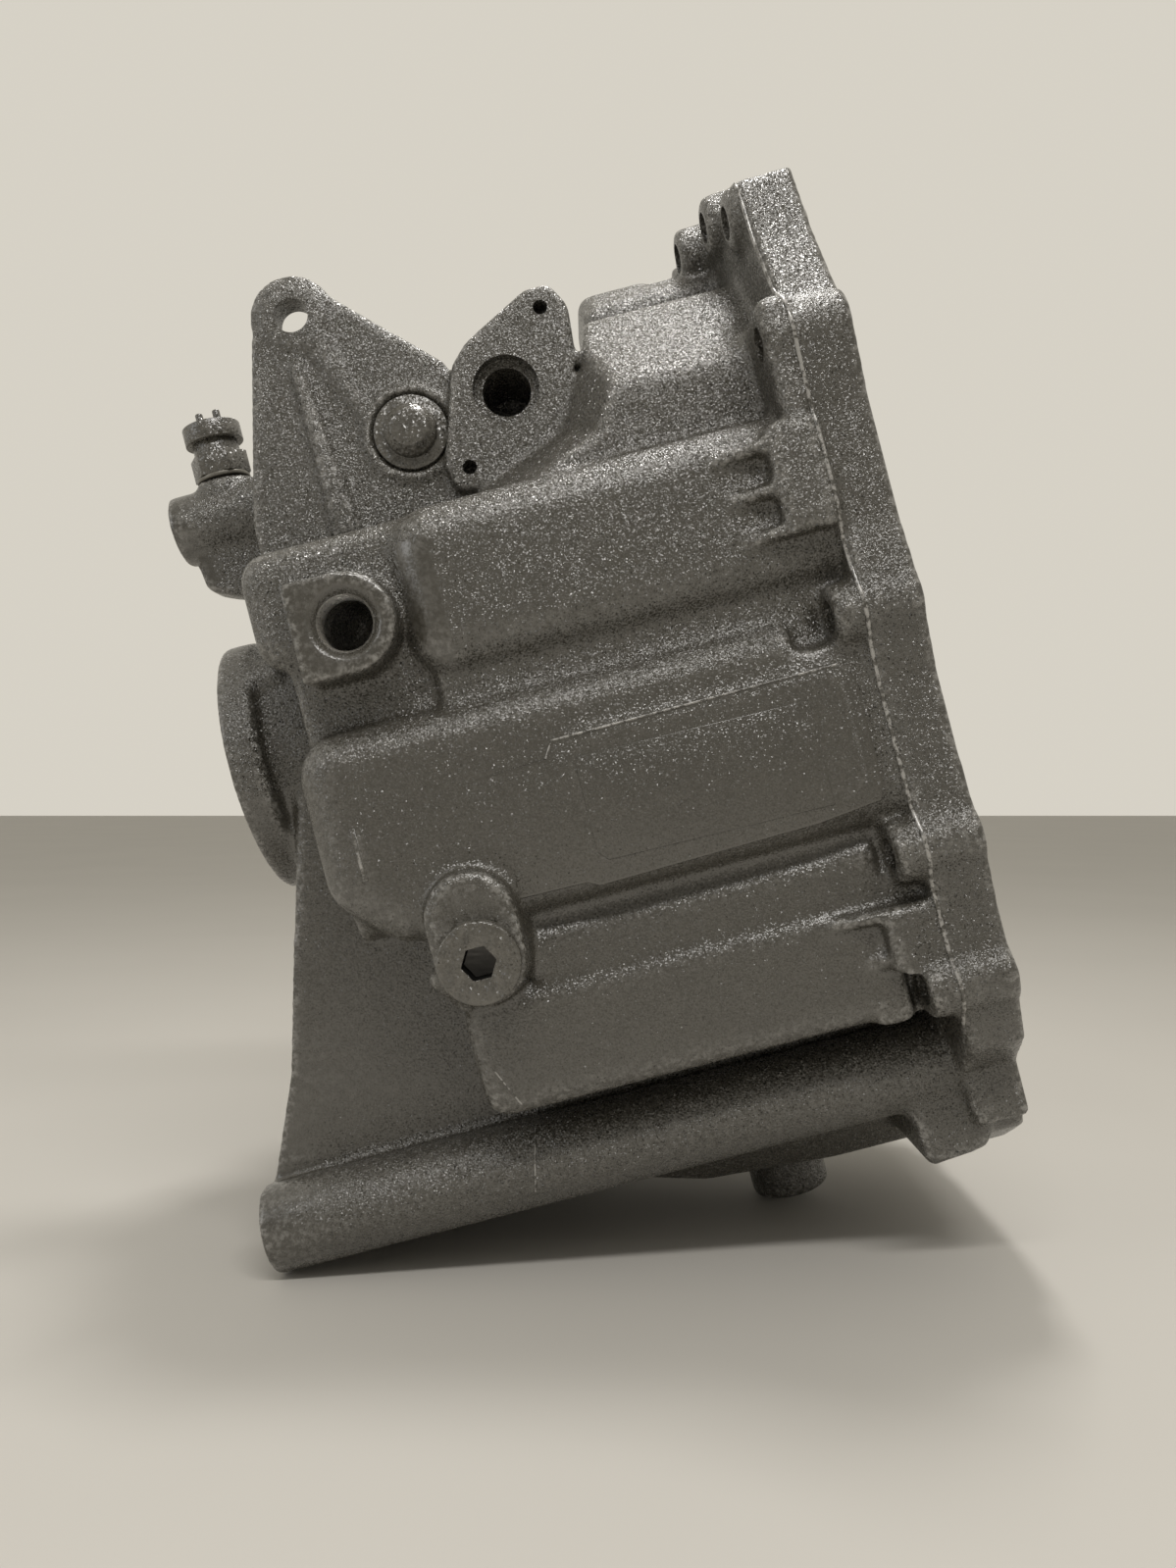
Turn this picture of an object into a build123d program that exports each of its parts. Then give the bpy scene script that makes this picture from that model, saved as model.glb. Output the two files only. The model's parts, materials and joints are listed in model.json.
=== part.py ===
from build123d import *
import os
from math import cos, radians, sin

# Housing frame: X runs along the output shaft to the joint face, Z up square to it,
# Y away from the side with the fill plug. The finished pieces are tilted to rest at the end.

# Rest attitude
REST_TILT = 14.5
REST_SIN = sin(radians(REST_TILT))
REST_COS = cos(radians(REST_TILT))

# Main lengths along the shaft
JOINT_FACE_X = 119.0
FLANGE_THICK = 20.0
FLANGE_BACK_X = JOINT_FACE_X - FLANGE_THICK
REAR_WALL_X = -88.0
REAR_WALL_THICK = 9.0
WALL = 6.0
FRONT = JOINT_FACE_X - 4
MOUTH_X = JOINT_FACE_X + 6

# Output shaft axis and rear neck
SHAFT_Y = 18.0
SHAFT_Z = 38.5
NECK_R = 42.0
REAR_FLANGE_R = 49.0
REAR_FLANGE_THICK = 13.0
REAR_FACE_X = -124.0
REAR_BOLT_CIRCLE_R = 40.0
REAR_BOLT_COUNT = 4
REAR_BOLT_R = 4.2
REAR_BOLT_DEPTH = 18.0

# Case sides
NEAR_Y = -58.0
FAR_Y = 106.0
BULGE_Y = -71.0
CASE_TOP_Z = 103.0
CASE_LOW_Z = -34.0
WAIST_Y = -54.0
WAIST_LOW_Z = -70.0
WAIST_X = -60.0
FAR_LOW_Z = -46.0
CAST_R = 9.0

# Fits of fixed pieces, and how far cutting forms run past a face
FIT = 0.05
CUT = 1.0

# Upper and lower bulges on the near side
UPPER_BULGE_X = -46.0
UPPER_BULGE_LOW_Z = 45.0
UPPER_BULGE_EDGE_R = 14.0
LOWER_BULGE_X = -93.0
LOWER_BULGE_TOP_Z = 37.0
LOWER_BULGE_LOW_Z = -37.0
LOWER_BULGE_EDGE_R = 12.0
VALLEY_Y = -63.5
PANEL_RAISE = 1.2
STEP_Y = -63.0
STEP_ROOT_Y = -60.5
FOOT_BULGE_Y = -65.0
FOOT_BULGE_X = -60.0
FOOT_BULGE_TOP_Z = -60.0
FOOT_BULGE_LOW_Z = -101.0

# Top of the case
TOP_X = 41.0
TOP_NEAR_Y = -55.0
RIDGE_TOP_Z = 193.0
TOP_SLANT_X = 13.0
TOP_SLANT_Z = 8.0

# Sump and its tubes
SUMP_NEAR_Y = -24.0
SUMP_FAR_Y = 92.0
SUMP_LOW_Z = -169.0
TUBE_R = 15.5
TUBE_BORE_R = 6.5
TUBE_BORE_DEPTH = 40.0
TUBE_Z = -126.0
TUBE_REAR_X = -149.0
NEAR_TUBE_Y = -32.0
FAR_TUBE_Y = 98.0

# Mounting boss under the sump
FOOT_X = 41.0
FOOT_Y = 46.0
FOOT_R = 16.0
FOOT_THREAD_R = 5.1
FOOT_THREAD_DEPTH = 22.0

# Joint flange bolts and dowels
BOLT_R = 5.5
BOSS_R = 11.0
BOSS_LONG = 9.0
SPOT_FACE_R = 8.5
SPOT_FACE_DEPTH = 14.0
SPOT_FACE_WALL = 3.0
THIN_WALL_BOLTS = ((-69, 33), (-66, -93))
BOSS_SHORT = 4.0
RIB_THICK = 4.0
RIB_RUN = 24.0
DOWEL_R = 6.5
DOWEL_BORE_R = 4.5
DOWEL_LENGTH = 16.0
DOWEL_SEAT = 8.0
DOWEL_STEP = 0.5
DOWEL_LEAD_R = 6.31
DOWEL_CHAMFER = 0.8

# Selector turret, rail and detent
RAIL_Y = 22.0
RAIL_Z = 139.0
RAIL_R = 8.0
RAIL_CLEARANCE = 0.05
RAIL_BOSS_R = 14.0
RAIL_BOSS_X = -134.0
RAIL_REAR_X = -121.0
RAIL_FRONT_X = 92.0
RAIL_TRAVEL = 9.0
RAIL_PLUG_THICK = 3.0
TURRET_NEAR_Y = -16.0
TURRET_TOP_Z = 156.0
FINGER_X = 68.0
FINGER_THICK = 14.0
FINGER_HUB_R = 14.0
FINGER_DROP = 42.0
FINGER_WIDTH = 13.0
FINGER_PIN_R = 2.5
DETENT_X = -30.0
PLUNGER_R = 5.0
PLUNGER_NOSE_R = 3.0
PLUNGER_NOSE_LENGTH = 5.0
PLUNGER_LENGTH = 14.0
PLUNGER_GAP = 0.3
DETENT_GROOVE_DEPTH = 1.5
CAP_R = 13.5
CAP_THICK = 3.0
CAP_DOME_R = 9.5
CAP_DOME_HEIGHT = 6.0
CAP_DOME_SLOPE = 3.0
CAP_BOSS_R = 17.0
CAP_FACE_Y = -30.0
CAP_SEAT_DEPTH = 3.5
CAP_SPIGOT_LENGTH = 5.0
SPRING_WIRE_R = 0.7
SPRING_R = 3.6
SPRING_TURNS = 4

# Selector pad
PAD_FACE_Y = -34.0
PAD_THICK = 12.0
PAD_BORE_X = 7.0
PAD_BORE_Z = 144.0
PAD_BORE_R = 8.8
PAD_COUNTERBORE_R = 12.0
PAD_COUNTERBORE_DEPTH = 4.6
PAD_NECK_R = 18.0
PAD_SCREW_R = 2.6
PAD_SCREW_DEPTH = 10.0

# Lifting lug
LUG_FACE_Y = -28.0
LUG_THICK = 11.0
LUG_HOLE_X = -61.5
LUG_HOLE_Z = 190.5
LUG_HOLE_R = 6.2
LUG_TOP_R = 15.5

# Speedometer boss
SENSOR_X = -63.0
SENSOR_Z = 70.0
SENSOR_FACE_Y = -76.0
SENSOR_R = 16.6
SENSOR_SQUARE_X = -80.5
SENSOR_BORE_R = 9.5
SENSOR_CHAMFER = 2.8

# Fill plug, drain plug and washers
PLUG_CHAMFER = 0.6
WASHER_GAP = 0.2
FILL_X = -47.3
FILL_Z = -46.0
FILL_RISE = 14.0
FILL_BOSS_R = 14.8
FILL_BOSS_Y = -79.0
PLUG_COLLAR_R = 13.5
PLUG_COLLAR_THICK = 4.5
PLUG_THREAD_R = 11.0
PLUG_THREAD_LENGTH = 12.0
PLUG_HEX = 10.0
PLUG_HEX_DEPTH = 8.0
WASHER_THICK = 1.5
WASHER_R = 13.4
DRAIN_X = -46.0
DRAIN_Y = 40.0
DRAIN_BOSS_R = 17.0
DRAIN_BOSS_LOW_Z = -154.0

# Reversing light switch
SWITCH_X = -111.5
SWITCH_THREAD_R = 7.0
SWITCH_THREAD_LENGTH = 6.0
SWITCH_HEX = 20.0
SWITCH_HEX_HEIGHT = 9.0
SWITCH_BODY_R = 9.0
SWITCH_BODY_HEIGHT = 5.0
SWITCH_COLLAR_R = 11.4
SWITCH_COLLAR_HEIGHT = 7.0
SWITCH_SOCKET_R = 8.4
SWITCH_SOCKET_DEPTH = 4.5
SWITCH_PIN_R = 1.5
SWITCH_PIN_HEIGHT = 11.0
SWITCH_PIN_PITCH = 7.0
SWITCH_PLUNGER_R = 3.0
SWITCH_PLUNGER_CHAMFER = 1.2
SWITCH_TRAVEL = 1.5
SWITCH_SPARE = 4.5

# Output bearing
BEARING_REAR_X = -104.0
BEARING_WIDTH = 20.0
BEARING_OUTER_R = 36.0
BEARING_BORE_R = 17.5
RACE_THICK = 5.0
ROLLER_COUNT = 10
ROLLER_LENGTH = 13.0
BEARING_CLEARANCE = 0.05
RING_THICK = 2.0
RING_DEPTH = 2.0

# Output seal
SEAL_R = 30.0
SEAL_WIDTH = 10.0
SEAL_GAP = 0.3

# Output shaft
SHAFT_R = BEARING_BORE_R
SHAFT_REAR_X = -121.0
SHAFT_FRONT_X = 30.0
SHAFT_SHOULDER_R = 22.0
SHAFT_FRONT_R = 14.0
SPLINE_COUNT = 16
SPLINE_DEPTH = 2.0
SPLINE_LENGTH = 45.0
SHAFT_BORE_R = 8.0

# Speedometer drive gear
GEAR_X = -63.0
GEAR_R = 37.0
GEAR_SEAT_R = 19.0
GEAR_WIDTH = 20.0
GEAR_STARTS = 8
GROOVE_WIDTH = 3.4
GROOVE_DEPTH = 3.0
GEAR_LEAD = 84.0

# Countershaft bearing ring
COUNTER_Y = 34.0
COUNTER_Z = -46.0
COUNTER_R = 29.0
COUNTER_BORE_R = 24.0
COUNTER_WIDTH = 17.0
COUNTER_WALL_X = -112.0
COUNTER_WALL_THICK = 6.0


def across(points, radius):
    """Closed outline with rounded corners, to be laid across the shaft or beside it."""
    with BuildSketch() as face:
        with BuildLine():
            Polyline(*points, close=True)
        make_face()
        if radius:
            fillet(face.vertices(), radius)
    return face.sketch


def cross_block(points, x_rear, x_front, corner=CAST_R, rear_edge=0):
    """Length of casting with one outline across the shaft."""
    with BuildPart() as block:
        with BuildSketch(Plane.YZ.offset(x_rear)):
            add(across(points, corner))
        extrude(amount=x_front - x_rear)
        if rear_edge:
            fillet(block.faces().sort_by(Axis.X)[0].edges(), rear_edge)
    return block.part


def side_block(points, y_near, y_far, corner=CAST_R, near_edge=0):
    """Depth of casting with one outline seen from the side."""
    with BuildPart() as block:
        with BuildSketch(Plane.XZ.offset(-y_near)):
            add(across(points, corner))
        extrude(amount=y_near - y_far)
        if near_edge:
            fillet(block.faces().sort_by(Axis.Y)[0].edges(), near_edge)
    return block.part


def rod(radius, length, plane):
    """Plain round bar that starts on the given plane and runs along its normal."""
    with BuildPart() as bar:
        with BuildSketch(plane):
            Circle(radius)
        extrude(amount=length)
    return bar.part


def along_x(x, y, z):
    """Plane square to the shaft direction at a point, its normal toward the joint face."""
    return Plane(origin=(x, y, z), x_dir=(0, 1, 0), z_dir=(1, 0, 0))


def along_y(x, y, z):
    """Plane at a point with its normal away from the near side."""
    return Plane(origin=(x, y, z), x_dir=(1, 0, 0), z_dir=(0, 1, 0))


def along_z(x, y, z):
    """Plane at a point with its normal up."""
    return Plane(origin=(x, y, z), x_dir=(1, 0, 0), z_dir=(0, 0, 1))


def slanted_top(wall, front):
    """Top of the case: one outline across the shaft, its rear end slanted to the selector pad."""
    rise = [
        (-40 + wall, 84),
        (-36 + wall, 98),
        (-9 + wall, 111 - 0.5 * wall),
        (21 + wall, 123 - wall),
        (36 + wall, 147),
        (TOP_X + wall, 168),
        (TOP_X + wall + 8, 220),
        (front + 60, 220),
        (front + 60, 84),
    ]
    near_rise = [(x + TOP_SLANT_X, z - TOP_SLANT_Z) for x, z in rise]
    with BuildPart() as slant:
        with BuildSketch(Plane.XZ.offset(-PAD_FACE_Y)):
            add(across(rise, 0))
        with BuildSketch(Plane.XZ.offset(-TOP_NEAR_Y)):
            add(across(near_rise, 0))
        loft(ruled=True)
        with BuildSketch(Plane.XZ.offset(-PAD_FACE_Y)):
            add(across(rise, 0))
        extrude(amount=-150)
    with BuildPart() as block:
        with BuildSketch(Plane.YZ.offset(-40)):
            add(
                across(
                    [
                        (TOP_NEAR_Y + wall, CASE_TOP_Z - 13),
                        (TOP_NEAR_Y + wall, 129 - 0.5 * wall),
                        (-21 + 0.5 * wall, 165 - wall),
                        (32, 173 - wall),
                        (94 - wall, 160 - wall),
                        (FAR_Y + 2 - wall, CASE_TOP_Z - 13),
                    ],
                    CAST_R,
                )
            )
        extrude(amount=front + 40)
        add(slant.part, mode=Mode.INTERSECT)
    return block.part


def case_blocks(wall, rear, front):
    """Forms of the hollow case, as the outside with no wall, or as the space inside a wall."""
    core = cross_block(
        [
            (NEAR_Y + wall, CASE_LOW_Z + wall),
            (NEAR_Y + wall, CASE_TOP_Z - wall),
            (FAR_Y - wall, CASE_TOP_Z - wall),
            (FAR_Y - wall, CASE_LOW_Z + wall),
        ],
        rear,
        front,
    )
    waist = cross_block(
        [
            (WAIST_Y + wall, WAIST_LOW_Z),
            (WAIST_Y + wall, 0),
            (FAR_Y - wall, 0),
            (FAR_Y - wall, FAR_LOW_Z + wall),
            (SUMP_FAR_Y - wall, WAIST_LOW_Z),
        ],
        WAIST_X + wall,
        front,
        corner=5,
    )
    upper = side_block(
        [
            (UPPER_BULGE_X + wall, UPPER_BULGE_LOW_Z + wall),
            (UPPER_BULGE_X + wall, CASE_TOP_Z + 1 - wall),
            (front, CASE_TOP_Z + 1 - wall),
            (front, UPPER_BULGE_LOW_Z + wall),
        ],
        BULGE_Y + wall,
        0,
        corner=UPPER_BULGE_EDGE_R + 2 - wall,
        near_edge=UPPER_BULGE_EDGE_R - wall,
    )
    lower = side_block(
        [
            (LOWER_BULGE_X + 2 * wall, LOWER_BULGE_LOW_Z + 20),
            (LOWER_BULGE_X + 20 + wall, LOWER_BULGE_LOW_Z + wall),
            (front, LOWER_BULGE_LOW_Z + wall),
            (front, LOWER_BULGE_TOP_Z - wall),
            (LOWER_BULGE_X + 2 * wall, LOWER_BULGE_TOP_Z - wall),
        ],
        BULGE_Y + wall,
        0,
        corner=LOWER_BULGE_EDGE_R + 2 - wall,
        near_edge=LOWER_BULGE_EDGE_R - wall,
    )
    foot = side_block(
        [
            (FOOT_BULGE_X + wall, FOOT_BULGE_LOW_Z + wall),
            (FOOT_BULGE_X + wall, FOOT_BULGE_TOP_Z - wall),
            (front, FOOT_BULGE_TOP_Z - wall),
            (front, FOOT_BULGE_LOW_Z + wall),
        ],
        FOOT_BULGE_Y + wall,
        20,
        corner=8,
        near_edge=6,
    )
    top = slanted_top(wall, front)
    ridge = cross_block(
        [
            (7 + wall, 150),
            (11 + wall, 181 - wall),
            (26, RIDGE_TOP_Z - wall),
            (60, RIDGE_TOP_Z - wall),
            (82 - wall, 174 - wall),
            (84 - wall, 150),
        ],
        TOP_X + 3 + wall,
        front,
        corner=7,
        rear_edge=6,
    )
    return [core, waist, upper, lower, foot, top, ridge]


def sump(wall, front):
    """Sump below the case: its outline seen from the side, cut to its outline across."""
    with BuildPart() as block:
        with BuildSketch(Plane.XZ.offset(-SUMP_NEAR_Y + 20)):
            add(
                across(
                    [
                        (-101 + 2 * wall, 34 - wall),
                        (-113 + 2 * wall, -8),
                        (-132 + 2 * wall, -76),
                        (TUBE_REAR_X + 2.5 * wall, -116 + wall),
                        (TUBE_REAR_X + 2.5 * wall, -136 + wall),
                        (-20, -152 + wall),
                        (6, -163 + wall),
                        (60, SUMP_LOW_Z + wall),
                        (front, SUMP_LOW_Z + wall),
                        (front, 34 - wall),
                    ],
                    0,
                )
            )
        extrude(amount=-(SUMP_FAR_Y - SUMP_NEAR_Y + 60))
        with BuildSketch(Plane.YZ.offset(TUBE_REAR_X - 5)):
            add(
                across(
                    [
                        (SUMP_NEAR_Y + wall, 40),
                        (SUMP_NEAR_Y + wall, -132 + wall),
                        (0, -152 + wall),
                        (16, SUMP_LOW_Z + wall - 1),
                        (70, SUMP_LOW_Z + wall - 1),
                        (SUMP_FAR_Y - 4 - wall, -146 + wall),
                        (SUMP_FAR_Y + 2 - wall, 40),
                    ],
                    7,
                )
            )
        extrude(amount=front - TUBE_REAR_X + 5, mode=Mode.INTERSECT)
    return block.part


# Joint flange bolt holes, as Y, Z and how far each boss stands behind the flange
FLANGE_BOLTS = [
    (-69, 125, BOSS_LONG),
    (-69, 33, BOSS_LONG),
    (-68, -47, BOSS_LONG),
    (-66, -93, BOSS_LONG),
    (-44, 177, BOSS_SHORT),
    (-12, 191, BOSS_SHORT + 1),
    (21, 196, BOSS_LONG + 2),
    (56, 196, BOSS_LONG),
    (88, 168, BOSS_LONG),
    (108, 122, BOSS_LONG),
    (112, 50, BOSS_LONG),
    (112, -20, BOSS_LONG),
    (100, -88, BOSS_LONG),
    (88, -157, BOSS_LONG),
]
FLANGE_OUTLINE = [
    (-66, -117),
    (-73, -96),
    (-73, -70),
    (-76, -52),
    (-73, -20),
    (-73, 8),
    (-79, 34),
    (-75, 60),
    (-75, 98),
    (-79, 120),
    (-70, 140),
    (-61, 162),
    (-55, 186),
    (-28, 188),
    (0, 197),
    (40, 200),
    (72, 196),
    (84, 186),
    (104, 158),
    (117, 122),
    (120, 50),
    (120, -30),
    (116, -92),
    (115, -138),
    (92, -152),
    (64, SUMP_LOW_Z),
    (-14, SUMP_LOW_Z + 3),
    (-40, -154),
    (-48, -130),
]
DOWELS = {"dowel_upper": (-27, 177), "dowel_lower": (103, -56)}

with BuildPart() as flange:
    with BuildSketch(Plane.YZ.offset(FLANGE_BACK_X)):
        add(across(FLANGE_OUTLINE, 0))
        for bolt_y, bolt_z, boss_length in FLANGE_BOLTS:
            with Locations((bolt_y, bolt_z)):
                Circle(BOSS_R)
    extrude(amount=FLANGE_THICK)

bosses = []
for bolt_y, bolt_z, boss_length in FLANGE_BOLTS:
    start = along_x(FLANGE_BACK_X - boss_length, bolt_y, bolt_z)
    bosses.append(rod(BOSS_R - 0.5, boss_length + 2, start))

# Rear neck with its round flange, bolt bosses and four webs
with BuildPart() as neck:
    with BuildSketch(along_x(REAR_FACE_X, SHAFT_Y, SHAFT_Z)):
        Circle(REAR_FLANGE_R)
    extrude(amount=REAR_FLANGE_THICK)
    with BuildSketch(along_x(REAR_FACE_X, SHAFT_Y, SHAFT_Z)):
        Circle(NECK_R)
    extrude(amount=REAR_WALL_X - REAR_FACE_X + 4, taper=-4)
    with BuildSketch(along_x(REAR_FACE_X, SHAFT_Y, SHAFT_Z)):
        with PolarLocations(REAR_BOLT_CIRCLE_R, REAR_BOLT_COUNT, start_angle=45):
            Circle(9)
    extrude(amount=REAR_BOLT_DEPTH + 6)
    with BuildSketch(along_x(REAR_FACE_X, SHAFT_Y, SHAFT_Z)):
        with PolarLocations(REAR_BOLT_CIRCLE_R - 4, REAR_BOLT_COUNT, start_angle=0):
            Rectangle(14, 7)
    extrude(amount=REAR_WALL_X - REAR_FACE_X + 5)

# Sump tubes with their blind bores at the rear
near_tube = rod(TUBE_R, FRONT - TUBE_REAR_X, along_x(TUBE_REAR_X, NEAR_TUBE_Y, TUBE_Z))
far_tube = rod(TUBE_R, FRONT - TUBE_REAR_X, along_x(TUBE_REAR_X, FAR_TUBE_Y, TUBE_Z))

# The mounting boss ends where it touches the same level surface as the rear ends of the tubes
tube_level = TUBE_REAR_X * REST_SIN + (TUBE_Z - TUBE_R) * REST_COS
foot_low_z = (tube_level - (FOOT_X - FOOT_R) * REST_SIN) / REST_COS
foot_boss = rod(FOOT_R, SUMP_LOW_Z + 8 - foot_low_z, along_z(FOOT_X, FOOT_Y, foot_low_z))
drain_boss = rod(DRAIN_BOSS_R, 12, along_z(DRAIN_X, DRAIN_Y, DRAIN_BOSS_LOW_Z))

# Ledge at the rear end of the case top, with the speedometer boss on its face
ledge = side_block(
    [(-97, 62), (-97, CASE_TOP_Z), (-20, CASE_TOP_Z), (-20, 62)],
    -63,
    0,
    corner=10,
    near_edge=8,
)
with BuildPart() as sensor_boss:
    with BuildSketch(Plane.XZ.offset(-SENSOR_FACE_Y)):
        with Locations((SENSOR_X, SENSOR_Z)):
            Circle(SENSOR_R)
        with Locations(((SENSOR_SQUARE_X + SENSOR_X) / 2, SENSOR_Z)):
            Rectangle(SENSOR_X - SENSOR_SQUARE_X, 2 * SENSOR_R)
    extrude(amount=SENSOR_FACE_Y + 30)

# Raised panel on the lower bulge, its corners cut off
panel = side_block(
    [(-8, -24), (-8, 12), (-1, 18), (88, 18), (92, 14), (92, -22), (84, -30), (-2, -30)],
    BULGE_Y - PANEL_RAISE,
    BULGE_Y + 5,
    corner=1,
)
bar_mark = side_block(
    [(-78, -12), (-78, 4), (-75.5, 4), (-75.5, -12)],
    BULGE_Y - 1,
    BULGE_Y + 5,
    corner=1,
)

# Floor of the valley between the two bulges
valley = side_block(
    [(-40, 28), (-40, 56), (FRONT, 56), (FRONT, 28)],
    VALLEY_Y,
    0,
    corner=3,
)

# Step under the lower bulge
step = side_block(
    [(-34, -64), (-34, -42), (FRONT, -42), (FRONT, -64)],
    STEP_Y,
    0,
    corner=6,
    near_edge=5,
)
step_root = side_block(
    [(-34, -50), (-34, -30), (FRONT, -30), (FRONT, -50)],
    STEP_ROOT_Y,
    0,
    corner=3,
)

# Fill boss, long in the up direction, with its small gusset
with BuildPart() as fill_boss:
    with BuildSketch(Plane.XZ.offset(-FILL_BOSS_Y)):
        with Locations((FILL_X, FILL_Z + FILL_RISE / 2)):
            SlotCenterToCenter(FILL_RISE, 2 * FILL_BOSS_R, rotation=90)
    extrude(amount=FILL_BOSS_Y + 30, taper=-6)
fill_gusset = side_block(
    [(-69, -49), (-56, -44), (-56, -66)],
    -68,
    -20,
    corner=1,
)



def wedge_rib(tip_x, tip_y, end_y, low_z):
    """Rib that grows out of the near side from a tip to the flange."""
    with BuildPart() as rib:
        with BuildSketch(Plane.XY.offset(low_z)):
            with BuildLine():
                Polyline(
                    (tip_x, tip_y + 2),
                    (tip_x + RIB_RUN, end_y),
                    (FLANGE_BACK_X + 1, end_y),
                    (FLANGE_BACK_X + 1, tip_y + 12),
                    (tip_x, tip_y + 12),
                    close=True,
                )
            make_face()
        extrude(amount=RIB_THICK)
    return rib.part


# Ribs that run into the flange
ribs = []
for rib_x, rib_z in ((57, 89), (59, 75), (61, 61)):
    ribs.append(wedge_rib(rib_x, BULGE_Y, BULGE_Y - 7, rib_z))
for rib_x, rib_z in ((56, -68), (66, -83), (67, -97)):
    ribs.append(wedge_rib(rib_x, FOOT_BULGE_Y, FOOT_BULGE_Y - 6, rib_z))
foot_pad = side_block(
    [(82, -99), (82, -64), (101, -64), (101, -99)],
    FOOT_BULGE_Y - 7,
    -45,
    corner=5,
    near_edge=3,
)
rib_pad = side_block([(82, 63), (82, 98), (101, 98), (101, 63)], BULGE_Y - 8, -50, corner=5, near_edge=3)
top_pad = side_block([(90, 98), (90, 138), (101, 138), (101, 98)], -78, -40, corner=4, near_edge=3)

# Lower front bracket with its thin tongues
bracket = side_block(
    [(79, -130), (82, -160), (104, -158), (112, -140), (112, -118), (79, -118)],
    -44,
    10,
    corner=2,
)
tongue = side_block(
    [(100, -128), (100, -148), (JOINT_FACE_X, -148), (JOINT_FACE_X, -128)],
    -50,
    -10,
    corner=2,
)

# Turret that carries the selector rail, with the boss round the rail's rear end
turret = cross_block(
    [
        (TURRET_NEAR_Y, CASE_TOP_Z - 10),
        (TURRET_NEAR_Y, TURRET_TOP_Z - 8),
        (TURRET_NEAR_Y + 10, TURRET_TOP_Z),
        (RAIL_Y + 14, TURRET_TOP_Z),
        (RAIL_Y + 26, TURRET_TOP_Z - 14),
        (RAIL_Y + 26, CASE_TOP_Z - 10),
    ],
    -86,
    TOP_X + 8,
    corner=5,
    rear_edge=4,
)
rail_boss = rod(RAIL_BOSS_R, 60, along_x(RAIL_BOSS_X, RAIL_Y, RAIL_Z))
switch_seat_z = RAIL_Z + RAIL_BOSS_R + 2
switch_boss = rod(11, 14, along_z(SWITCH_X, RAIL_Y, switch_seat_z - 14))
rail_gusset = side_block(
    [(-130, 132), (-127, 112), (-108, 104), (-84, 92), (-84, 132)],
    RAIL_Y - 8,
    RAIL_Y + 8,
    corner=5,
)

# Lifting lug, selector pad and the boss of the domed cap
with BuildPart() as lug:
    with BuildSketch(Plane.XZ.offset(-LUG_FACE_Y)) as lug_face:
        with BuildLine():
            Polyline(
                (-95, 96),
                (-94, 122),
                (LUG_HOLE_X - LUG_TOP_R - 1, LUG_HOLE_Z - 4),
                (LUG_HOLE_X, LUG_HOLE_Z),
                (LUG_HOLE_X + LUG_TOP_R - 3, LUG_HOLE_Z + 7),
                (-12, 161),
                (-8, 100),
                close=True,
            )
        make_face()
        with Locations((LUG_HOLE_X, LUG_HOLE_Z)):
            Circle(LUG_TOP_R)
    extrude(amount=-LUG_THICK)
lug_ring = rod(LUG_HOLE_R + 5, LUG_THICK + 1.5, along_y(LUG_HOLE_X, LUG_FACE_Y - 1.5, LUG_HOLE_Z))
lug_ribs = [
    side_block([(-62, 186), (-54, 188), (-42, 150), (-46, 148)], LUG_FACE_Y - 1.5, LUG_FACE_Y + 3, 0),
    side_block([(-66, 174), (-63, 174), (-56, 108), (-66, 108)], LUG_FACE_Y - 3, LUG_FACE_Y + 3, 0),
]
cap_boss = rod(CAP_BOSS_R, 20, along_y(DETENT_X, CAP_FACE_Y, RAIL_Z))
with BuildPart() as pad:
    with BuildSketch(Plane.XZ.offset(-PAD_FACE_Y)) as pad_face:
        with BuildLine():
            Polyline(
                (-10, 157),
                (-3, 164),
                (22, 177),
                (31, 177),
                (36, 168),
                (34, 148),
                (20, 124),
                (-9, 112),
                (-19, 113),
                (-21, 124),
                close=True,
            )
        make_face()
        fillet(pad_face.vertices(), 3.5)
    extrude(amount=-PAD_THICK)
pad_neck = rod(PAD_NECK_R, 26, along_y(PAD_BORE_X, PAD_FACE_Y + 2, PAD_BORE_Z))
pad_web = side_block([(-60, 100), (-60, 128), (28, 132), (44, 100)], PAD_FACE_Y + 8, 0, corner=4)


with BuildPart() as outside:
    for form in case_blocks(0, REAR_WALL_X, FRONT):
        add(form)
    for form in (sump(0, FRONT), flange.part, neck.part, near_tube, far_tube, foot_boss, drain_boss):
        add(form)
    for form in bosses + ribs:
        add(form)
    for form in (ledge, sensor_boss.part, panel, bar_mark, valley, step, step_root):
        add(form)
    for form in (fill_boss.part, fill_gusset):
        add(form)
    for form in (rib_pad, foot_pad, top_pad, bracket, tongue, turret, rail_boss, switch_boss, rail_gusset):
        add(form)
    for form in (lug.part, lug_ring, *lug_ribs, cap_boss, pad.part, pad_neck, pad_web):
        add(form)

# Metal that stands inside the hollow case, round the bearings, threads and two bolts
inner_wall_x = REAR_WALL_X + REAR_WALL_THICK
bearing_wall = rod(BEARING_OUTER_R + 7, REAR_WALL_THICK + 3, along_x(REAR_WALL_X - 2, SHAFT_Y, SHAFT_Z))
counter_wall = rod(
    COUNTER_R + COUNTER_WALL_THICK,
    inner_wall_x - COUNTER_WALL_X + 1,
    along_x(COUNTER_WALL_X, COUNTER_Y, COUNTER_Z),
)
fill_wall = rod(PLUG_THREAD_R + 5, 20, along_y(FILL_X, BULGE_Y, FILL_Z))
foot_wall = rod(FOOT_R, FOOT_THREAD_DEPTH + 8, along_z(FOOT_X, FOOT_Y, foot_low_z))
bolt_wall_x = FLANGE_BACK_X - BOSS_LONG - SPOT_FACE_DEPTH - SPOT_FACE_WALL
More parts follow.
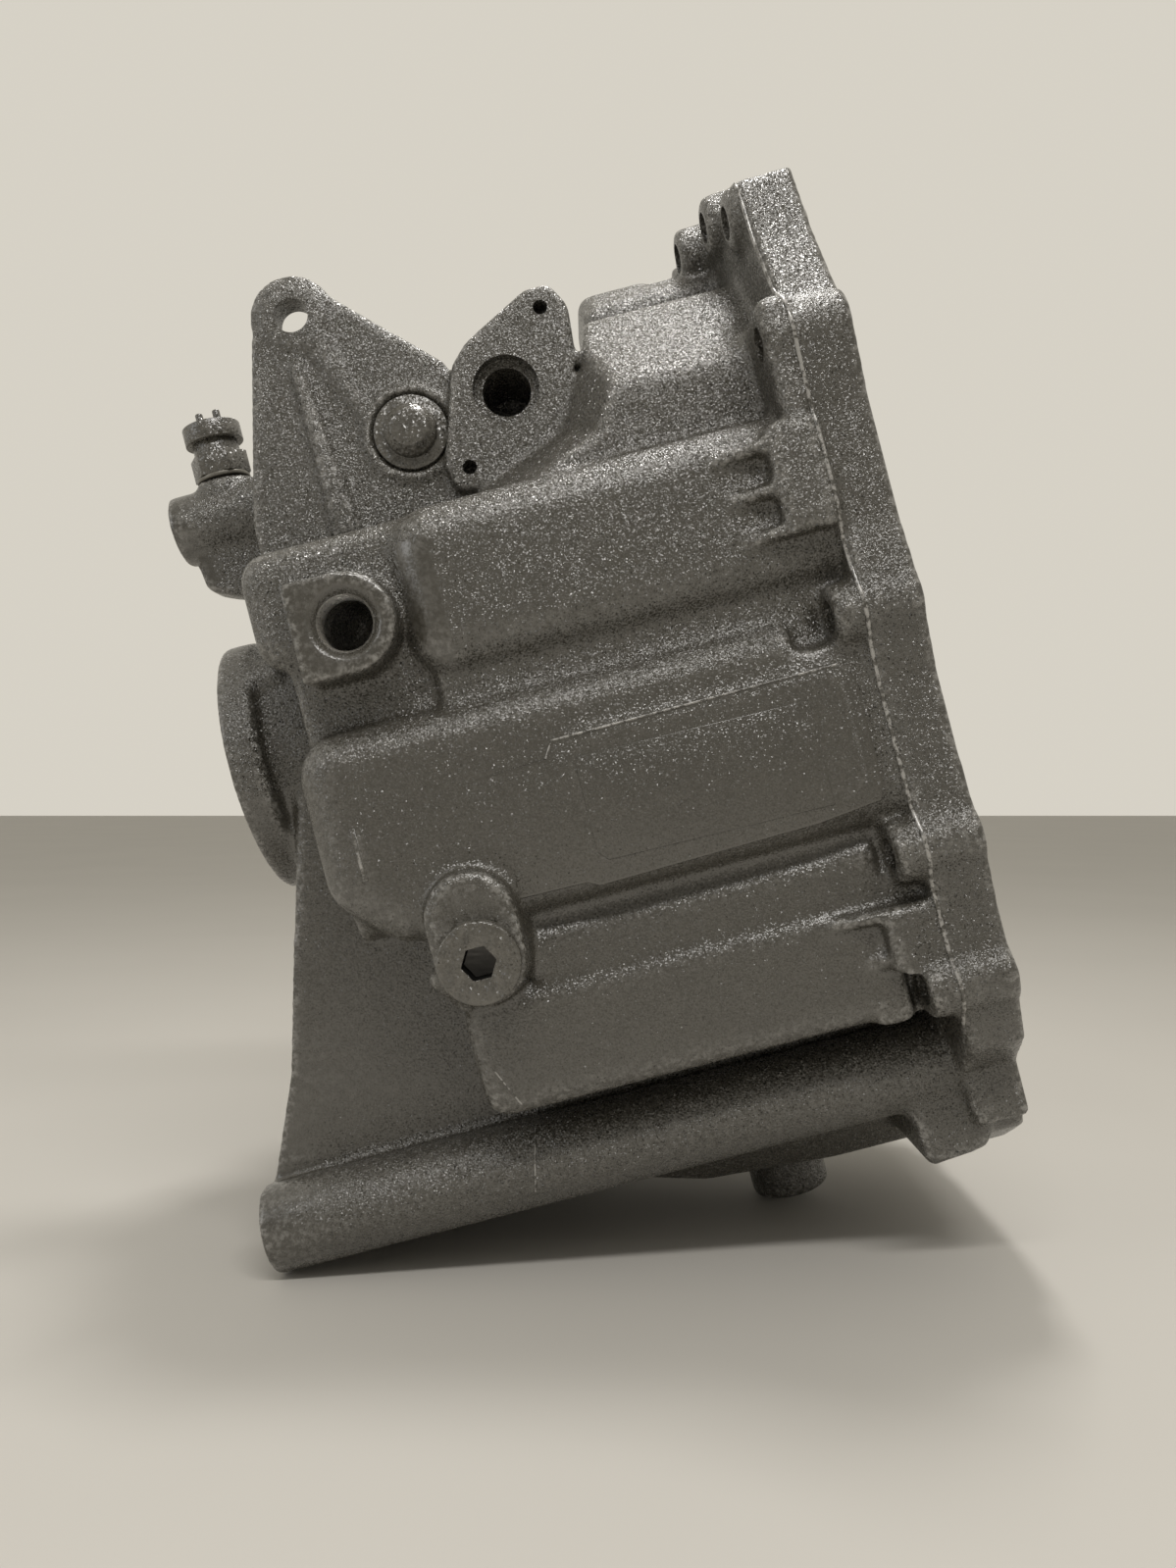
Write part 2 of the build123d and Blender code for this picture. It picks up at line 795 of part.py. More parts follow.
bolt_walls = [
    rod(SPOT_FACE_R + SPOT_FACE_WALL, MOUTH_X - bolt_wall_x + CUT, along_x(bolt_wall_x, bolt_y, bolt_z))
    for bolt_y, bolt_z in THIN_WALL_BOLTS
]

with BuildPart() as hollow:
    for form in case_blocks(WALL, inner_wall_x, MOUTH_X):
        add(form)
    add(sump(WALL, MOUTH_X))
    for form in (bearing_wall, counter_wall, fill_wall, foot_wall, turret, *bolt_walls):
        add(form, mode=Mode.SUBTRACT)

seal_seat_x = REAR_FACE_X + SEAL_WIDTH + 2
ring_x = BEARING_REAR_X + BEARING_WIDTH
counter_rear_x = inner_wall_x + 1 - COUNTER_WIDTH
plunger_tip_y = RAIL_Y - RAIL_R + DETENT_GROOVE_DEPTH - PLUNGER_GAP
cap_seat_y = CAP_FACE_Y + CAP_SEAT_DEPTH

with BuildPart() as housing:
    add(outside.part)
    add(hollow.part, mode=Mode.SUBTRACT)
    for bolt_y, bolt_z, boss_length in FLANGE_BOLTS:
        boss_x = FLANGE_BACK_X - boss_length
        spot_face = along_x(boss_x - SPOT_FACE_DEPTH, bolt_y, bolt_z)
        add(rod(SPOT_FACE_R, SPOT_FACE_DEPTH, spot_face), mode=Mode.SUBTRACT)
        bolt_start = along_x(boss_x - CUT, bolt_y, bolt_z)
        add(rod(BOLT_R, JOINT_FACE_X - boss_x + 2 * CUT, bolt_start), mode=Mode.SUBTRACT)
    for dowel_y, dowel_z in DOWELS.values():
        seat = along_x(JOINT_FACE_X - DOWEL_SEAT, dowel_y, dowel_z)
        add(rod(DOWEL_R + FIT, DOWEL_SEAT + CUT, seat), mode=Mode.SUBTRACT)
    # Seal bore, clear bore, bearing seat and its ring groove
    rear_start = along_x(REAR_FACE_X - CUT, SHAFT_Y, SHAFT_Z)
    add(rod(SEAL_R + FIT, seal_seat_x - REAR_FACE_X + CUT, rear_start), mode=Mode.SUBTRACT)
    add(rod(SEAL_R - 4, 60, rear_start), mode=Mode.SUBTRACT)
    bearing_seat = along_x(BEARING_REAR_X, SHAFT_Y, SHAFT_Z)
    add(rod(BEARING_OUTER_R + FIT, BEARING_WIDTH + 20, bearing_seat), mode=Mode.SUBTRACT)
    ring_seat = along_x(ring_x, SHAFT_Y, SHAFT_Z)
    add(rod(BEARING_OUTER_R + RING_DEPTH, RING_THICK + FIT, ring_seat), mode=Mode.SUBTRACT)
    counter_seat = along_x(counter_rear_x, COUNTER_Y, COUNTER_Z)
    add(rod(COUNTER_R + FIT, COUNTER_WIDTH + CUT, counter_seat), mode=Mode.SUBTRACT)
    with BuildSketch(along_x(REAR_FACE_X, SHAFT_Y, SHAFT_Z)):
        with PolarLocations(REAR_BOLT_CIRCLE_R, REAR_BOLT_COUNT, start_angle=45):
            Circle(REAR_BOLT_R)
    extrude(amount=REAR_BOLT_DEPTH, mode=Mode.SUBTRACT)
    # Bores of the two tubes, the mounting boss and the drain
    for tube_y in (NEAR_TUBE_Y, FAR_TUBE_Y):
        tube_end = along_x(TUBE_REAR_X - CUT, tube_y, TUBE_Z)
        add(rod(TUBE_BORE_R, TUBE_BORE_DEPTH + CUT, tube_end), mode=Mode.SUBTRACT)
    foot_end = along_z(FOOT_X, FOOT_Y, foot_low_z - CUT)
    add(rod(FOOT_THREAD_R, FOOT_THREAD_DEPTH + CUT, foot_end), mode=Mode.SUBTRACT)
    drain_end = along_z(DRAIN_X, DRAIN_Y, DRAIN_BOSS_LOW_Z - CUT)
    add(rod(PLUG_THREAD_R + FIT, 30, drain_end), mode=Mode.SUBTRACT)
    fill_end = along_y(FILL_X, FILL_BOSS_Y - CUT, FILL_Z)
    add(rod(PLUG_THREAD_R + FIT, 40, fill_end), mode=Mode.SUBTRACT)
    # Speedometer bore with its chamfered mouth
    sensor_end = along_y(SENSOR_X, SENSOR_FACE_Y, SENSOR_Z)
    add(rod(SENSOR_BORE_R, 40, sensor_end), mode=Mode.SUBTRACT)
    with BuildSketch(sensor_end):
        Circle(SENSOR_BORE_R + SENSOR_CHAMFER)
    extrude(amount=SENSOR_CHAMFER, taper=45, mode=Mode.SUBTRACT)
    # Selector pad bore and its screw holes
    pad_end = along_y(PAD_BORE_X, PAD_FACE_Y, PAD_BORE_Z)
    add(rod(PAD_COUNTERBORE_R, PAD_COUNTERBORE_DEPTH, pad_end), mode=Mode.SUBTRACT)
    add(rod(PAD_BORE_R, RAIL_Y - PAD_FACE_Y, pad_end), mode=Mode.SUBTRACT)
    for screw_x, screw_z in ((26, 169), (-12.5, 120)):
        add(rod(PAD_SCREW_R, PAD_SCREW_DEPTH, along_y(screw_x, PAD_FACE_Y, screw_z)), mode=Mode.SUBTRACT)
    add(rod(LUG_HOLE_R, LUG_THICK + 8, along_y(LUG_HOLE_X, LUG_FACE_Y - 4, LUG_HOLE_Z)), mode=Mode.SUBTRACT)
    # Rail bore, detent bore and switch seat
    rail_end = along_x(RAIL_BOSS_X - CUT, RAIL_Y, RAIL_Z)
    add(rod(RAIL_R + RAIL_CLEARANCE, TOP_X + 12 - RAIL_BOSS_X, rail_end), mode=Mode.SUBTRACT)
    cap_end = along_y(DETENT_X, CAP_FACE_Y - CUT, RAIL_Z)
    add(rod(CAP_R + 1.0, CAP_SEAT_DEPTH + CUT, cap_end), mode=Mode.SUBTRACT)
    add(rod(PLUNGER_R + FIT, RAIL_Y - CAP_FACE_Y, cap_end), mode=Mode.SUBTRACT)
    switch_seat = along_z(SWITCH_X, RAIL_Y, RAIL_Z)
    add(rod(SWITCH_THREAD_R + FIT, switch_seat_z - RAIL_Z + CUT, switch_seat), mode=Mode.SUBTRACT)


def plug(seat):
    """Round collar plug with a threaded shank and a hexagon socket, its seat on the plane."""
    with BuildPart() as piece:
        with BuildSketch(seat):
            Circle(PLUG_COLLAR_R)
        extrude(amount=-PLUG_COLLAR_THICK)
        chamfer(piece.edges().filter_by(GeomType.CIRCLE), PLUG_CHAMFER)
        with BuildSketch(seat):
            Circle(PLUG_THREAD_R)
        extrude(amount=PLUG_THREAD_LENGTH)
        with BuildSketch(seat.offset(-PLUG_COLLAR_THICK)):
            RegularPolygon(PLUG_HEX / 2, 6, major_radius=False)
        extrude(amount=PLUG_HEX_DEPTH, mode=Mode.SUBTRACT)
    return piece


def washer(seat, outer_r, inner_r, thick):
    """Flat ring that lies on the plane, on the side its normal points away from."""
    with BuildPart() as piece:
        with BuildSketch(seat):
            Circle(outer_r)
            Circle(inner_r, mode=Mode.SUBTRACT)
        extrude(amount=-thick)
    return piece


fill_seat = along_y(FILL_X, FILL_BOSS_Y, FILL_Z)
fill_plug = plug(fill_seat.offset(-WASHER_THICK))
fill_plug_washer = washer(fill_seat, WASHER_R, PLUG_THREAD_R + WASHER_GAP, WASHER_THICK)
drain_seat = along_z(DRAIN_X, DRAIN_Y, DRAIN_BOSS_LOW_Z)
drain_plug = plug(drain_seat.offset(-WASHER_THICK))
drain_plug_washer = washer(drain_seat, WASHER_R, PLUG_THREAD_R + WASHER_GAP, WASHER_THICK)

# Domed cap over the detent
cap_seat = along_y(DETENT_X, cap_seat_y, RAIL_Z)
with BuildPart() as detent_cap:
    with BuildSketch(cap_seat):
        Circle(CAP_R)
    extrude(amount=-CAP_THICK)
    with BuildSketch(cap_seat):
        Circle(CAP_DOME_R)
    extrude(amount=-CAP_THICK - CAP_DOME_HEIGHT)
    dome_face = detent_cap.faces().sort_by(Axis.Y)[0]
    chamfer(dome_face.edges(), CAP_DOME_SLOPE)
    with BuildSketch(cap_seat):
        Circle(PLUNGER_R - FIT)
    extrude(amount=CAP_SPIGOT_LENGTH)

plunger_rear_y = plunger_tip_y - PLUNGER_LENGTH
with BuildPart() as detent_plunger:
    with BuildSketch(along_y(DETENT_X, plunger_rear_y, RAIL_Z)):
        Circle(PLUNGER_R - RAIL_CLEARANCE)
    extrude(amount=PLUNGER_LENGTH - PLUNGER_NOSE_LENGTH)
    with BuildSketch(along_y(DETENT_X, plunger_rear_y, RAIL_Z)):
        Circle(PLUNGER_NOSE_R)
    extrude(amount=PLUNGER_LENGTH)
    chamfer(detent_plunger.faces().sort_by(Axis.Y)[-1].edges(), 0.8)

spring_low_y = cap_seat_y + CAP_SPIGOT_LENGTH
spring_length = plunger_rear_y - spring_low_y
with BuildPart() as detent_spring:
    with BuildLine():
        coil = Helix(
            (spring_length - 2 * SPRING_WIRE_R) / SPRING_TURNS,
            spring_length - 2 * SPRING_WIRE_R,
            SPRING_R,
            center=(DETENT_X, spring_low_y + SPRING_WIRE_R, RAIL_Z),
            direction=(0, 1, 0),
        )
    with BuildSketch(Plane(origin=coil @ 0, z_dir=coil % 0)):
        Rectangle(2 * SPRING_WIRE_R, 2 * SPRING_WIRE_R)
    sweep(is_frenet=True)

# Selector rail with the long flat that the plunger rides in
with BuildPart() as selector_rail:
    with BuildSketch(along_x(RAIL_REAR_X, RAIL_Y, RAIL_Z)):
        Circle(RAIL_R)
    extrude(amount=RAIL_FRONT_X - RAIL_REAR_X)
    chamfer(selector_rail.edges().filter_by(GeomType.CIRCLE), 1.0)
    with BuildSketch(Plane.XZ.offset(-(RAIL_Y - RAIL_R) + CUT)):
        with Locations((DETENT_X, RAIL_Z)):
            Rectangle(2 * (RAIL_TRAVEL + PLUNGER_NOSE_R + 0.5), 2 * RAIL_R)
    extrude(amount=-DETENT_GROOVE_DEPTH - CUT, mode=Mode.SUBTRACT)
    with BuildSketch(along_y(FINGER_X, RAIL_Y - RAIL_R - CUT, RAIL_Z)):
        Circle(FINGER_PIN_R + FIT)
    extrude(amount=2 * RAIL_R + 2 * CUT, mode=Mode.SUBTRACT)

finger_start = FINGER_X - FINGER_THICK / 2
with BuildPart() as selector_finger:
    with BuildSketch(along_x(finger_start, RAIL_Y, RAIL_Z)):
        Circle(FINGER_HUB_R)
        with Locations((0, -FINGER_DROP / 2)):
            Rectangle(FINGER_WIDTH, FINGER_DROP)
        with Locations((0, -FINGER_DROP)):
            Circle(FINGER_WIDTH / 2)
        Circle(RAIL_R + FIT, mode=Mode.SUBTRACT)
    extrude(amount=FINGER_THICK)
    with BuildSketch(along_y(FINGER_X, RAIL_Y - FINGER_HUB_R - CUT, RAIL_Z)):
        Circle(FINGER_PIN_R + FIT)
    extrude(amount=2 * FINGER_HUB_R + 2 * CUT, mode=Mode.SUBTRACT)
with BuildPart() as finger_pin:
    with BuildSketch(along_y(FINGER_X, RAIL_Y - FINGER_HUB_R, RAIL_Z)):
        Circle(FINGER_PIN_R)
        Circle(FINGER_PIN_R - 1, mode=Mode.SUBTRACT)
    extrude(amount=2 * FINGER_HUB_R)
with BuildPart() as rail_end_plug:
    with BuildSketch(along_x(RAIL_BOSS_X, RAIL_Y, RAIL_Z)):
        Circle(RAIL_R)
    extrude(amount=RAIL_PLUG_THICK)
    with BuildSketch(along_x(RAIL_BOSS_X, RAIL_Y, RAIL_Z)):
        Circle(RAIL_R - 2)
    extrude(amount=1.5, mode=Mode.SUBTRACT)

# Reversing light switch
hex_low = switch_seat_z + WASHER_THICK
hex_top = hex_low + SWITCH_HEX_HEIGHT
body_top = hex_top + SWITCH_BODY_HEIGHT
collar_top = body_top + SWITCH_COLLAR_HEIGHT
with BuildPart() as switch_body:
    with BuildSketch(along_z(SWITCH_X, RAIL_Y, hex_low)):
        RegularPolygon(SWITCH_HEX / 2, 6, major_radius=False)
    extrude(amount=SWITCH_HEX_HEIGHT)
    with BuildSketch(along_z(SWITCH_X, RAIL_Y, hex_low - WASHER_THICK - SWITCH_THREAD_LENGTH)):
        Circle(SWITCH_THREAD_R)
    extrude(amount=WASHER_THICK + SWITCH_THREAD_LENGTH)
    with BuildSketch(along_z(SWITCH_X, RAIL_Y, hex_top)):
        Circle(SWITCH_BODY_R)
    extrude(amount=SWITCH_BODY_HEIGHT)
    with BuildSketch(along_z(SWITCH_X, RAIL_Y, hex_low - WASHER_THICK - SWITCH_THREAD_LENGTH)):
        Circle(SWITCH_PLUNGER_R + RAIL_CLEARANCE)
    extrude(amount=WASHER_THICK + SWITCH_THREAD_LENGTH + SWITCH_TRAVEL + SWITCH_SPARE, mode=Mode.SUBTRACT)
switch_washer = washer(
    along_z(SWITCH_X, RAIL_Y, hex_low), SWITCH_HEX / 2 + 0.5, SWITCH_THREAD_R + WASHER_GAP, WASHER_THICK
)
with BuildPart() as switch_connector:
    with BuildSketch(along_z(SWITCH_X, RAIL_Y, body_top)):
        Circle(SWITCH_COLLAR_R)
    extrude(amount=SWITCH_COLLAR_HEIGHT)
    with BuildSketch(along_z(SWITCH_X, RAIL_Y, collar_top - SWITCH_SOCKET_DEPTH)):
        Circle(SWITCH_SOCKET_R)
    extrude(amount=SWITCH_SOCKET_DEPTH, mode=Mode.SUBTRACT)
pin_low = collar_top - SWITCH_SOCKET_DEPTH
with BuildPart() as switch_pins:
    with BuildSketch(along_z(SWITCH_X, RAIL_Y, pin_low)):
        with GridLocations(SWITCH_PIN_PITCH, 0, 2, 1):
            Circle(SWITCH_PIN_R)
    extrude(amount=SWITCH_PIN_HEIGHT)
    chamfer(switch_pins.faces().group_by(Axis.Z)[-1].edges(), 0.4)
plunger_low = RAIL_Z + RAIL_R + PLUNGER_GAP
with BuildPart() as switch_plunger:
    with BuildSketch(along_z(SWITCH_X, RAIL_Y, plunger_low)):
        Circle(SWITCH_PLUNGER_R)
    extrude(amount=SWITCH_THREAD_LENGTH + 4)
    chamfer(switch_plunger.faces().sort_by(Axis.Z)[0].edges(), SWITCH_PLUNGER_CHAMFER)

# Output bearing: rings, rollers and cage
inner_ring_r = BEARING_BORE_R + RACE_THICK
outer_track_r = BEARING_OUTER_R - RACE_THICK
roller_r = (outer_track_r - inner_ring_r) / 2 - BEARING_CLEARANCE
pitch_r = (outer_track_r + inner_ring_r) / 2
bearing_plane = along_x(BEARING_REAR_X, SHAFT_Y, SHAFT_Z)
with BuildPart() as bearing_outer_ring:
    with BuildSketch(bearing_plane):
        Circle(BEARING_OUTER_R)
        Circle(outer_track_r, mode=Mode.SUBTRACT)
    extrude(amount=BEARING_WIDTH)
with BuildPart() as bearing_inner_ring:
    with BuildSketch(bearing_plane):
        Circle(inner_ring_r)
        Circle(BEARING_BORE_R + FIT, mode=Mode.SUBTRACT)
    extrude(amount=BEARING_WIDTH)
roller_start = bearing_plane.offset((BEARING_WIDTH - ROLLER_LENGTH) / 2)
with BuildPart() as bearing_rollers:
    with BuildSketch(roller_start):
        with PolarLocations(pitch_r, ROLLER_COUNT):
            Circle(roller_r)
    extrude(amount=ROLLER_LENGTH)
with BuildPart() as bearing_cage:
    with BuildSketch(bearing_plane.offset(1)):
        Circle(pitch_r + 2)
        Circle(pitch_r - 2, mode=Mode.SUBTRACT)
    extrude(amount=BEARING_WIDTH - 2)
    with BuildSketch(roller_start.offset(-0.2)):
        with PolarLocations(pitch_r, ROLLER_COUNT):
            Circle(roller_r + 0.1)
    extrude(amount=ROLLER_LENGTH + 0.4, mode=Mode.SUBTRACT)
with BuildPart() as bearing_retaining_ring:
    with BuildSketch(along_x(ring_x, SHAFT_Y, SHAFT_Z)):
        Circle(BEARING_OUTER_R + RING_DEPTH - FIT)
        Circle(BEARING_OUTER_R - 4, mode=Mode.SUBTRACT)
        with Locations((0, -BEARING_OUTER_R)):
            Rectangle(10, 12, mode=Mode.SUBTRACT)
    extrude(amount=RING_THICK)

seal_start = seal_seat_x - SEAL_WIDTH
with BuildPart() as output_seal:
    with BuildSketch(along_x(seal_start, SHAFT_Y, SHAFT_Z)):
        Circle(SEAL_R)
        Circle(SHAFT_R + SEAL_GAP, mode=Mode.SUBTRACT)
    extrude(amount=SEAL_WIDTH)
    with BuildSketch(along_x(seal_start, SHAFT_Y, SHAFT_Z)):
        Circle(SEAL_R - 3)
        Circle(SHAFT_R + 3, mode=Mode.SUBTRACT)
    extrude(amount=SEAL_WIDTH - 3, mode=Mode.SUBTRACT)

# Output shaft: bored and splined at the rear, splined at the front
gear_rear_x = GEAR_X - GEAR_WIDTH / 2
gear_front_x = GEAR_X + GEAR_WIDTH / 2
with BuildPart() as output_shaft:
    with BuildSketch(along_x(SHAFT_REAR_X, SHAFT_Y, SHAFT_Z)):
        Circle(SHAFT_R)
    extrude(amount=ring_x - SHAFT_REAR_X)
    with BuildSketch(along_x(ring_x, SHAFT_Y, SHAFT_Z)):
        Circle(SHAFT_SHOULDER_R)
    extrude(amount=gear_rear_x - ring_x)
    with BuildSketch(along_x(gear_rear_x, SHAFT_Y, SHAFT_Z)):
        Circle(GEAR_SEAT_R)
    extrude(amount=GEAR_WIDTH + RING_THICK + 3)
    with BuildSketch(along_x(gear_front_x, SHAFT_Y, SHAFT_Z)):
        Circle(SHAFT_R)
    extrude(amount=SHAFT_FRONT_X - SPLINE_LENGTH - gear_front_x)
    with BuildSketch(along_x(SHAFT_FRONT_X - SPLINE_LENGTH, SHAFT_Y, SHAFT_Z)):
        Circle(SHAFT_FRONT_R)
        with PolarLocations(SHAFT_FRONT_R, SPLINE_COUNT):
            Rectangle(2 * SPLINE_DEPTH, 2.8)
    extrude(amount=SPLINE_LENGTH)
    with BuildSketch(along_x(SHAFT_REAR_X, SHAFT_Y, SHAFT_Z)):
        Circle(SHAFT_BORE_R + 2)
        with PolarLocations(SHAFT_BORE_R + 2, SPLINE_COUNT):
            Rectangle(2 * SPLINE_DEPTH, 2.0)
    extrude(amount=30, mode=Mode.SUBTRACT)

# Speedometer drive gear: a ring with helical grooves, as a worm of many starts
gear_plane = along_x(gear_rear_x, SHAFT_Y, SHAFT_Z)
with BuildPart() as groove:
    with BuildLine():
        groove_line = Helix(
            GEAR_LEAD,
            GEAR_WIDTH + 4,
            GEAR_R,
            center=(gear_rear_x - 2, SHAFT_Y, SHAFT_Z),
            direction=(1, 0, 0),
        )
    outward = (groove_line @ 0) - Vector(gear_rear_x - 2, SHAFT_Y, SHAFT_Z)
    with BuildSketch(Plane(origin=groove_line @ 0, x_dir=outward, z_dir=groove_line % 0)):
        Rectangle(2 * GROOVE_DEPTH, GROOVE_WIDTH)
    sweep(is_frenet=True)
with BuildPart() as speedometer_gear:
    with BuildSketch(gear_plane):
        Circle(GEAR_R)
    extrude(amount=GEAR_WIDTH)
    chamfer(speedometer_gear.edges().filter_by(GeomType.CIRCLE), 1.0)
    with BuildSketch(gear_plane):
        Circle(GEAR_SEAT_R + FIT)
    extrude(amount=GEAR_WIDTH, mode=Mode.SUBTRACT)
    shaft_axis = Axis((0, SHAFT_Y, SHAFT_Z), (1, 0, 0))
    for start in range(GEAR_STARTS):
        add(groove.part.rotate(shaft_axis, start * 360 / GEAR_STARTS), mode=Mode.SUBTRACT)
with BuildPart() as gear_retaining_ring:
    with BuildSketch(along_x(gear_front_x, SHAFT_Y, SHAFT_Z)):
        Circle(GEAR_SEAT_R + 3)
        Circle(GEAR_SEAT_R + FIT, mode=Mode.SUBTRACT)
        with Locations((0, GEAR_SEAT_R)):
            Rectangle(6, 10, mode=Mode.SUBTRACT)
    extrude(amount=RING_THICK)

with BuildPart() as countershaft_ring:
    with BuildSketch(along_x(counter_rear_x, COUNTER_Y, COUNTER_Z)):
        Circle(COUNTER_R)
        Circle(COUNTER_BORE_R, mode=Mode.SUBTRACT)
    extrude(amount=COUNTER_WIDTH)

pieces = {
    "housing": housing,
    "fill_plug": fill_plug,
    "fill_plug_washer": fill_plug_washer,
    "drain_plug": drain_plug,
    "drain_plug_washer": drain_plug_washer,
    "detent_cap": detent_cap,
    "detent_plunger": detent_plunger,
    "detent_spring": detent_spring,
    "selector_rail": selector_rail,
    "selector_finger": selector_finger,
    "finger_pin": finger_pin,
    "rail_end_plug": rail_end_plug,
    "switch_body": switch_body,
    "switch_washer": switch_washer,
    "switch_connector": switch_connector,
    "switch_pins": switch_pins,
    "switch_plunger": switch_plunger,
    "bearing_outer_ring": bearing_outer_ring,
    "bearing_inner_ring": bearing_inner_ring,
    "bearing_rollers": bearing_rollers,
    "bearing_cage": bearing_cage,
    "bearing_retaining_ring": bearing_retaining_ring,
    "output_seal": output_seal,
    "output_shaft": output_shaft,
    "speedometer_gear": speedometer_gear,
    "gear_retaining_ring": gear_retaining_ring,
    "countershaft_ring": countershaft_ring,
}
for dowel_name, (dowel_y, dowel_z) in DOWELS.items():
    with BuildPart() as dowel:
        with BuildSketch(along_x(JOINT_FACE_X - DOWEL_SEAT, dowel_y, dowel_z)):
            Circle(DOWEL_R)
            Circle(DOWEL_BORE_R, mode=Mode.SUBTRACT)
        extrude(amount=DOWEL_SEAT + DOWEL_STEP)
        with BuildSketch(along_x(JOINT_FACE_X + DOWEL_STEP, dowel_y, dowel_z)):
            Circle(DOWEL_LEAD_R)
            Circle(DOWEL_BORE_R, mode=Mode.SUBTRACT)
        extrude(amount=DOWEL_LENGTH - DOWEL_SEAT - DOWEL_STEP)
        chamfer(dowel.faces().sort_by(Axis.X)[-1].outer_wire().edges(), DOWEL_CHAMFER)
    pieces[dowel_name] = dowel

# Tilt the whole to rest and stand it on the level surface, centred in plan
whole = Compound([piece.part.rotate(Axis.Y, -REST_TILT) for piece in pieces.values()])
box = whole.bounding_box()
rest_shift = Vector(-box.center().X, -box.center().Y, -box.min.Z)

os.makedirs("parts", exist_ok=True)
for name, piece in pieces.items():
    rested = piece.part.rotate(Axis.Y, -REST_TILT).translate(rest_shift)
    rested.label = name
    export_step(rested, f"parts/{name}.step")
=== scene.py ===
import json
from math import cos, pi, radians, sin

import bmesh
import bpy
import numpy as np
from bpy.props import FloatProperty, FloatVectorProperty, IntProperty, PointerProperty
from mathutils import Matrix, Vector
from mathutils.bvhtree import BVHTree
from mathutils.kdtree import KDTree


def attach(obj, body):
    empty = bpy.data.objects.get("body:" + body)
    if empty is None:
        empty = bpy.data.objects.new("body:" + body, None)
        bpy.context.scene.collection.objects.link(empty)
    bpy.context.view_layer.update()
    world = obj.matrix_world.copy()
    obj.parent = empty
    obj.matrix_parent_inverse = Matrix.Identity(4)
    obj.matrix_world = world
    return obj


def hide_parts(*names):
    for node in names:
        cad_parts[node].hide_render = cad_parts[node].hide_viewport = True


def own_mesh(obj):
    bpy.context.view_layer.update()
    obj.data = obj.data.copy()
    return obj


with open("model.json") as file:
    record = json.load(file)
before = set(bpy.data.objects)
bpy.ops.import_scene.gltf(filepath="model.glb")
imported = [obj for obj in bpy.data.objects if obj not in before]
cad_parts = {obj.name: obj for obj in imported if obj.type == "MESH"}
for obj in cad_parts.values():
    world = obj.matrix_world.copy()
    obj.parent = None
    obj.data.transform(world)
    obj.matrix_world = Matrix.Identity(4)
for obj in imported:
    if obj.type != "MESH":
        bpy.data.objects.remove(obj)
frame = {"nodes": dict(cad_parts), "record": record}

bl_info = {
    "name": "Cast Gearbox Housing",
    "version": (1, 0, 0),
    "blender": (4, 5, 0),
    "location": "View3D > Sidebar > Gearbox",
    "description": "Dresses a cast rear gearbox housing: painted casting, plugs, switch, bearing and shaft",
    "category": "Add Mesh",
}

MM = 0.001

# The case frame: X along the output shaft to the joint face, Z square to it, tilted to rest
REST_TILT = radians(14.5)
TILT = Matrix.Rotation(-REST_TILT, 4, "Y")
LIFTING_HOLE = Vector((-61.5, -22.5, 190.5)) * MM
LIFTING_MOUNT = next(m for m in frame["record"]["mounts"] if m["name"] == "lifting_hole")
CASE_SHIFT = Vector(LIFTING_MOUNT["pos_m"]) - TILT.to_3x3() @ LIFTING_HOLE
TO_ROW = Matrix.Translation(CASE_SHIFT) @ TILT
TO_CASE = TO_ROW.inverted()

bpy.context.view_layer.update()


# Settings


class CastingSettings(bpy.types.PropertyGroup):
    skin_size: FloatProperty(
        name="Skin size", description="Spacing of the casting's skin before it is thinned out",
        default=0.0012, min=0.0008, max=0.004, unit="LENGTH", precision=4,
    )
    rounding: IntProperty(
        name="Rounding", description="Passes that round the casting's edges and corners",
        default=14, min=0, max=60,
    )
    faces: IntProperty(
        name="Faces", description="Most faces that the casting keeps", default=190000, min=20000, max=199000,
    )
    paint: FloatVectorProperty(
        name="Paint", description="Colour of the sprayed coat", subtype="COLOR", size=3,
        default=(0.056, 0.0515, 0.0415), min=0, max=1,
    )
    paint_light: FloatVectorProperty(
        name="Paint, thin", description="Colour where the coat is thin or dusty", subtype="COLOR", size=3,
        default=(0.090, 0.083, 0.069), min=0, max=1,
    )
    grain: FloatProperty(
        name="Grain", description="Size of the cast surface's grain", default=0.00075, min=0.0003, max=0.004,
        unit="LENGTH", precision=5,
    )
    gloss: FloatProperty(
        name="Gloss", description="Least roughness of the coat", default=0.21, min=0.05, max=0.9,
        subtype="FACTOR",
    )
    flake: FloatProperty(
        name="Flake", description="How far single flakes of the coat lean", default=0.9, min=0, max=2,
    )


class HardwareSettings(bpy.types.PropertyGroup):
    edge: FloatProperty(
        name="Edge", description="Width of the small edge breaks on turned and milled pieces",
        default=0.0003, min=0.00005, max=0.001, unit="LENGTH", precision=5,
    )
    thread_pitch: FloatProperty(
        name="Thread pitch", description="Pitch of the thread in the speedometer bore",
        default=0.0015, min=0.0005, max=0.003, unit="LENGTH", precision=4,
    )
    steel: FloatVectorProperty(
        name="Steel", description="Colour of bare turned steel", subtype="COLOR", size=3,
        default=(0.56, 0.55, 0.53), min=0, max=1,
    )
    dark_steel: FloatVectorProperty(
        name="Dark steel", description="Colour of oiled, blackened steel", subtype="COLOR", size=3,
        default=(0.09, 0.088, 0.085), min=0, max=1,
    )
    brass: FloatVectorProperty(
        name="Brass", description="Colour of the bearing cage and the contact pins", subtype="COLOR", size=3,
        default=(0.52, 0.37, 0.15), min=0, max=1,
    )


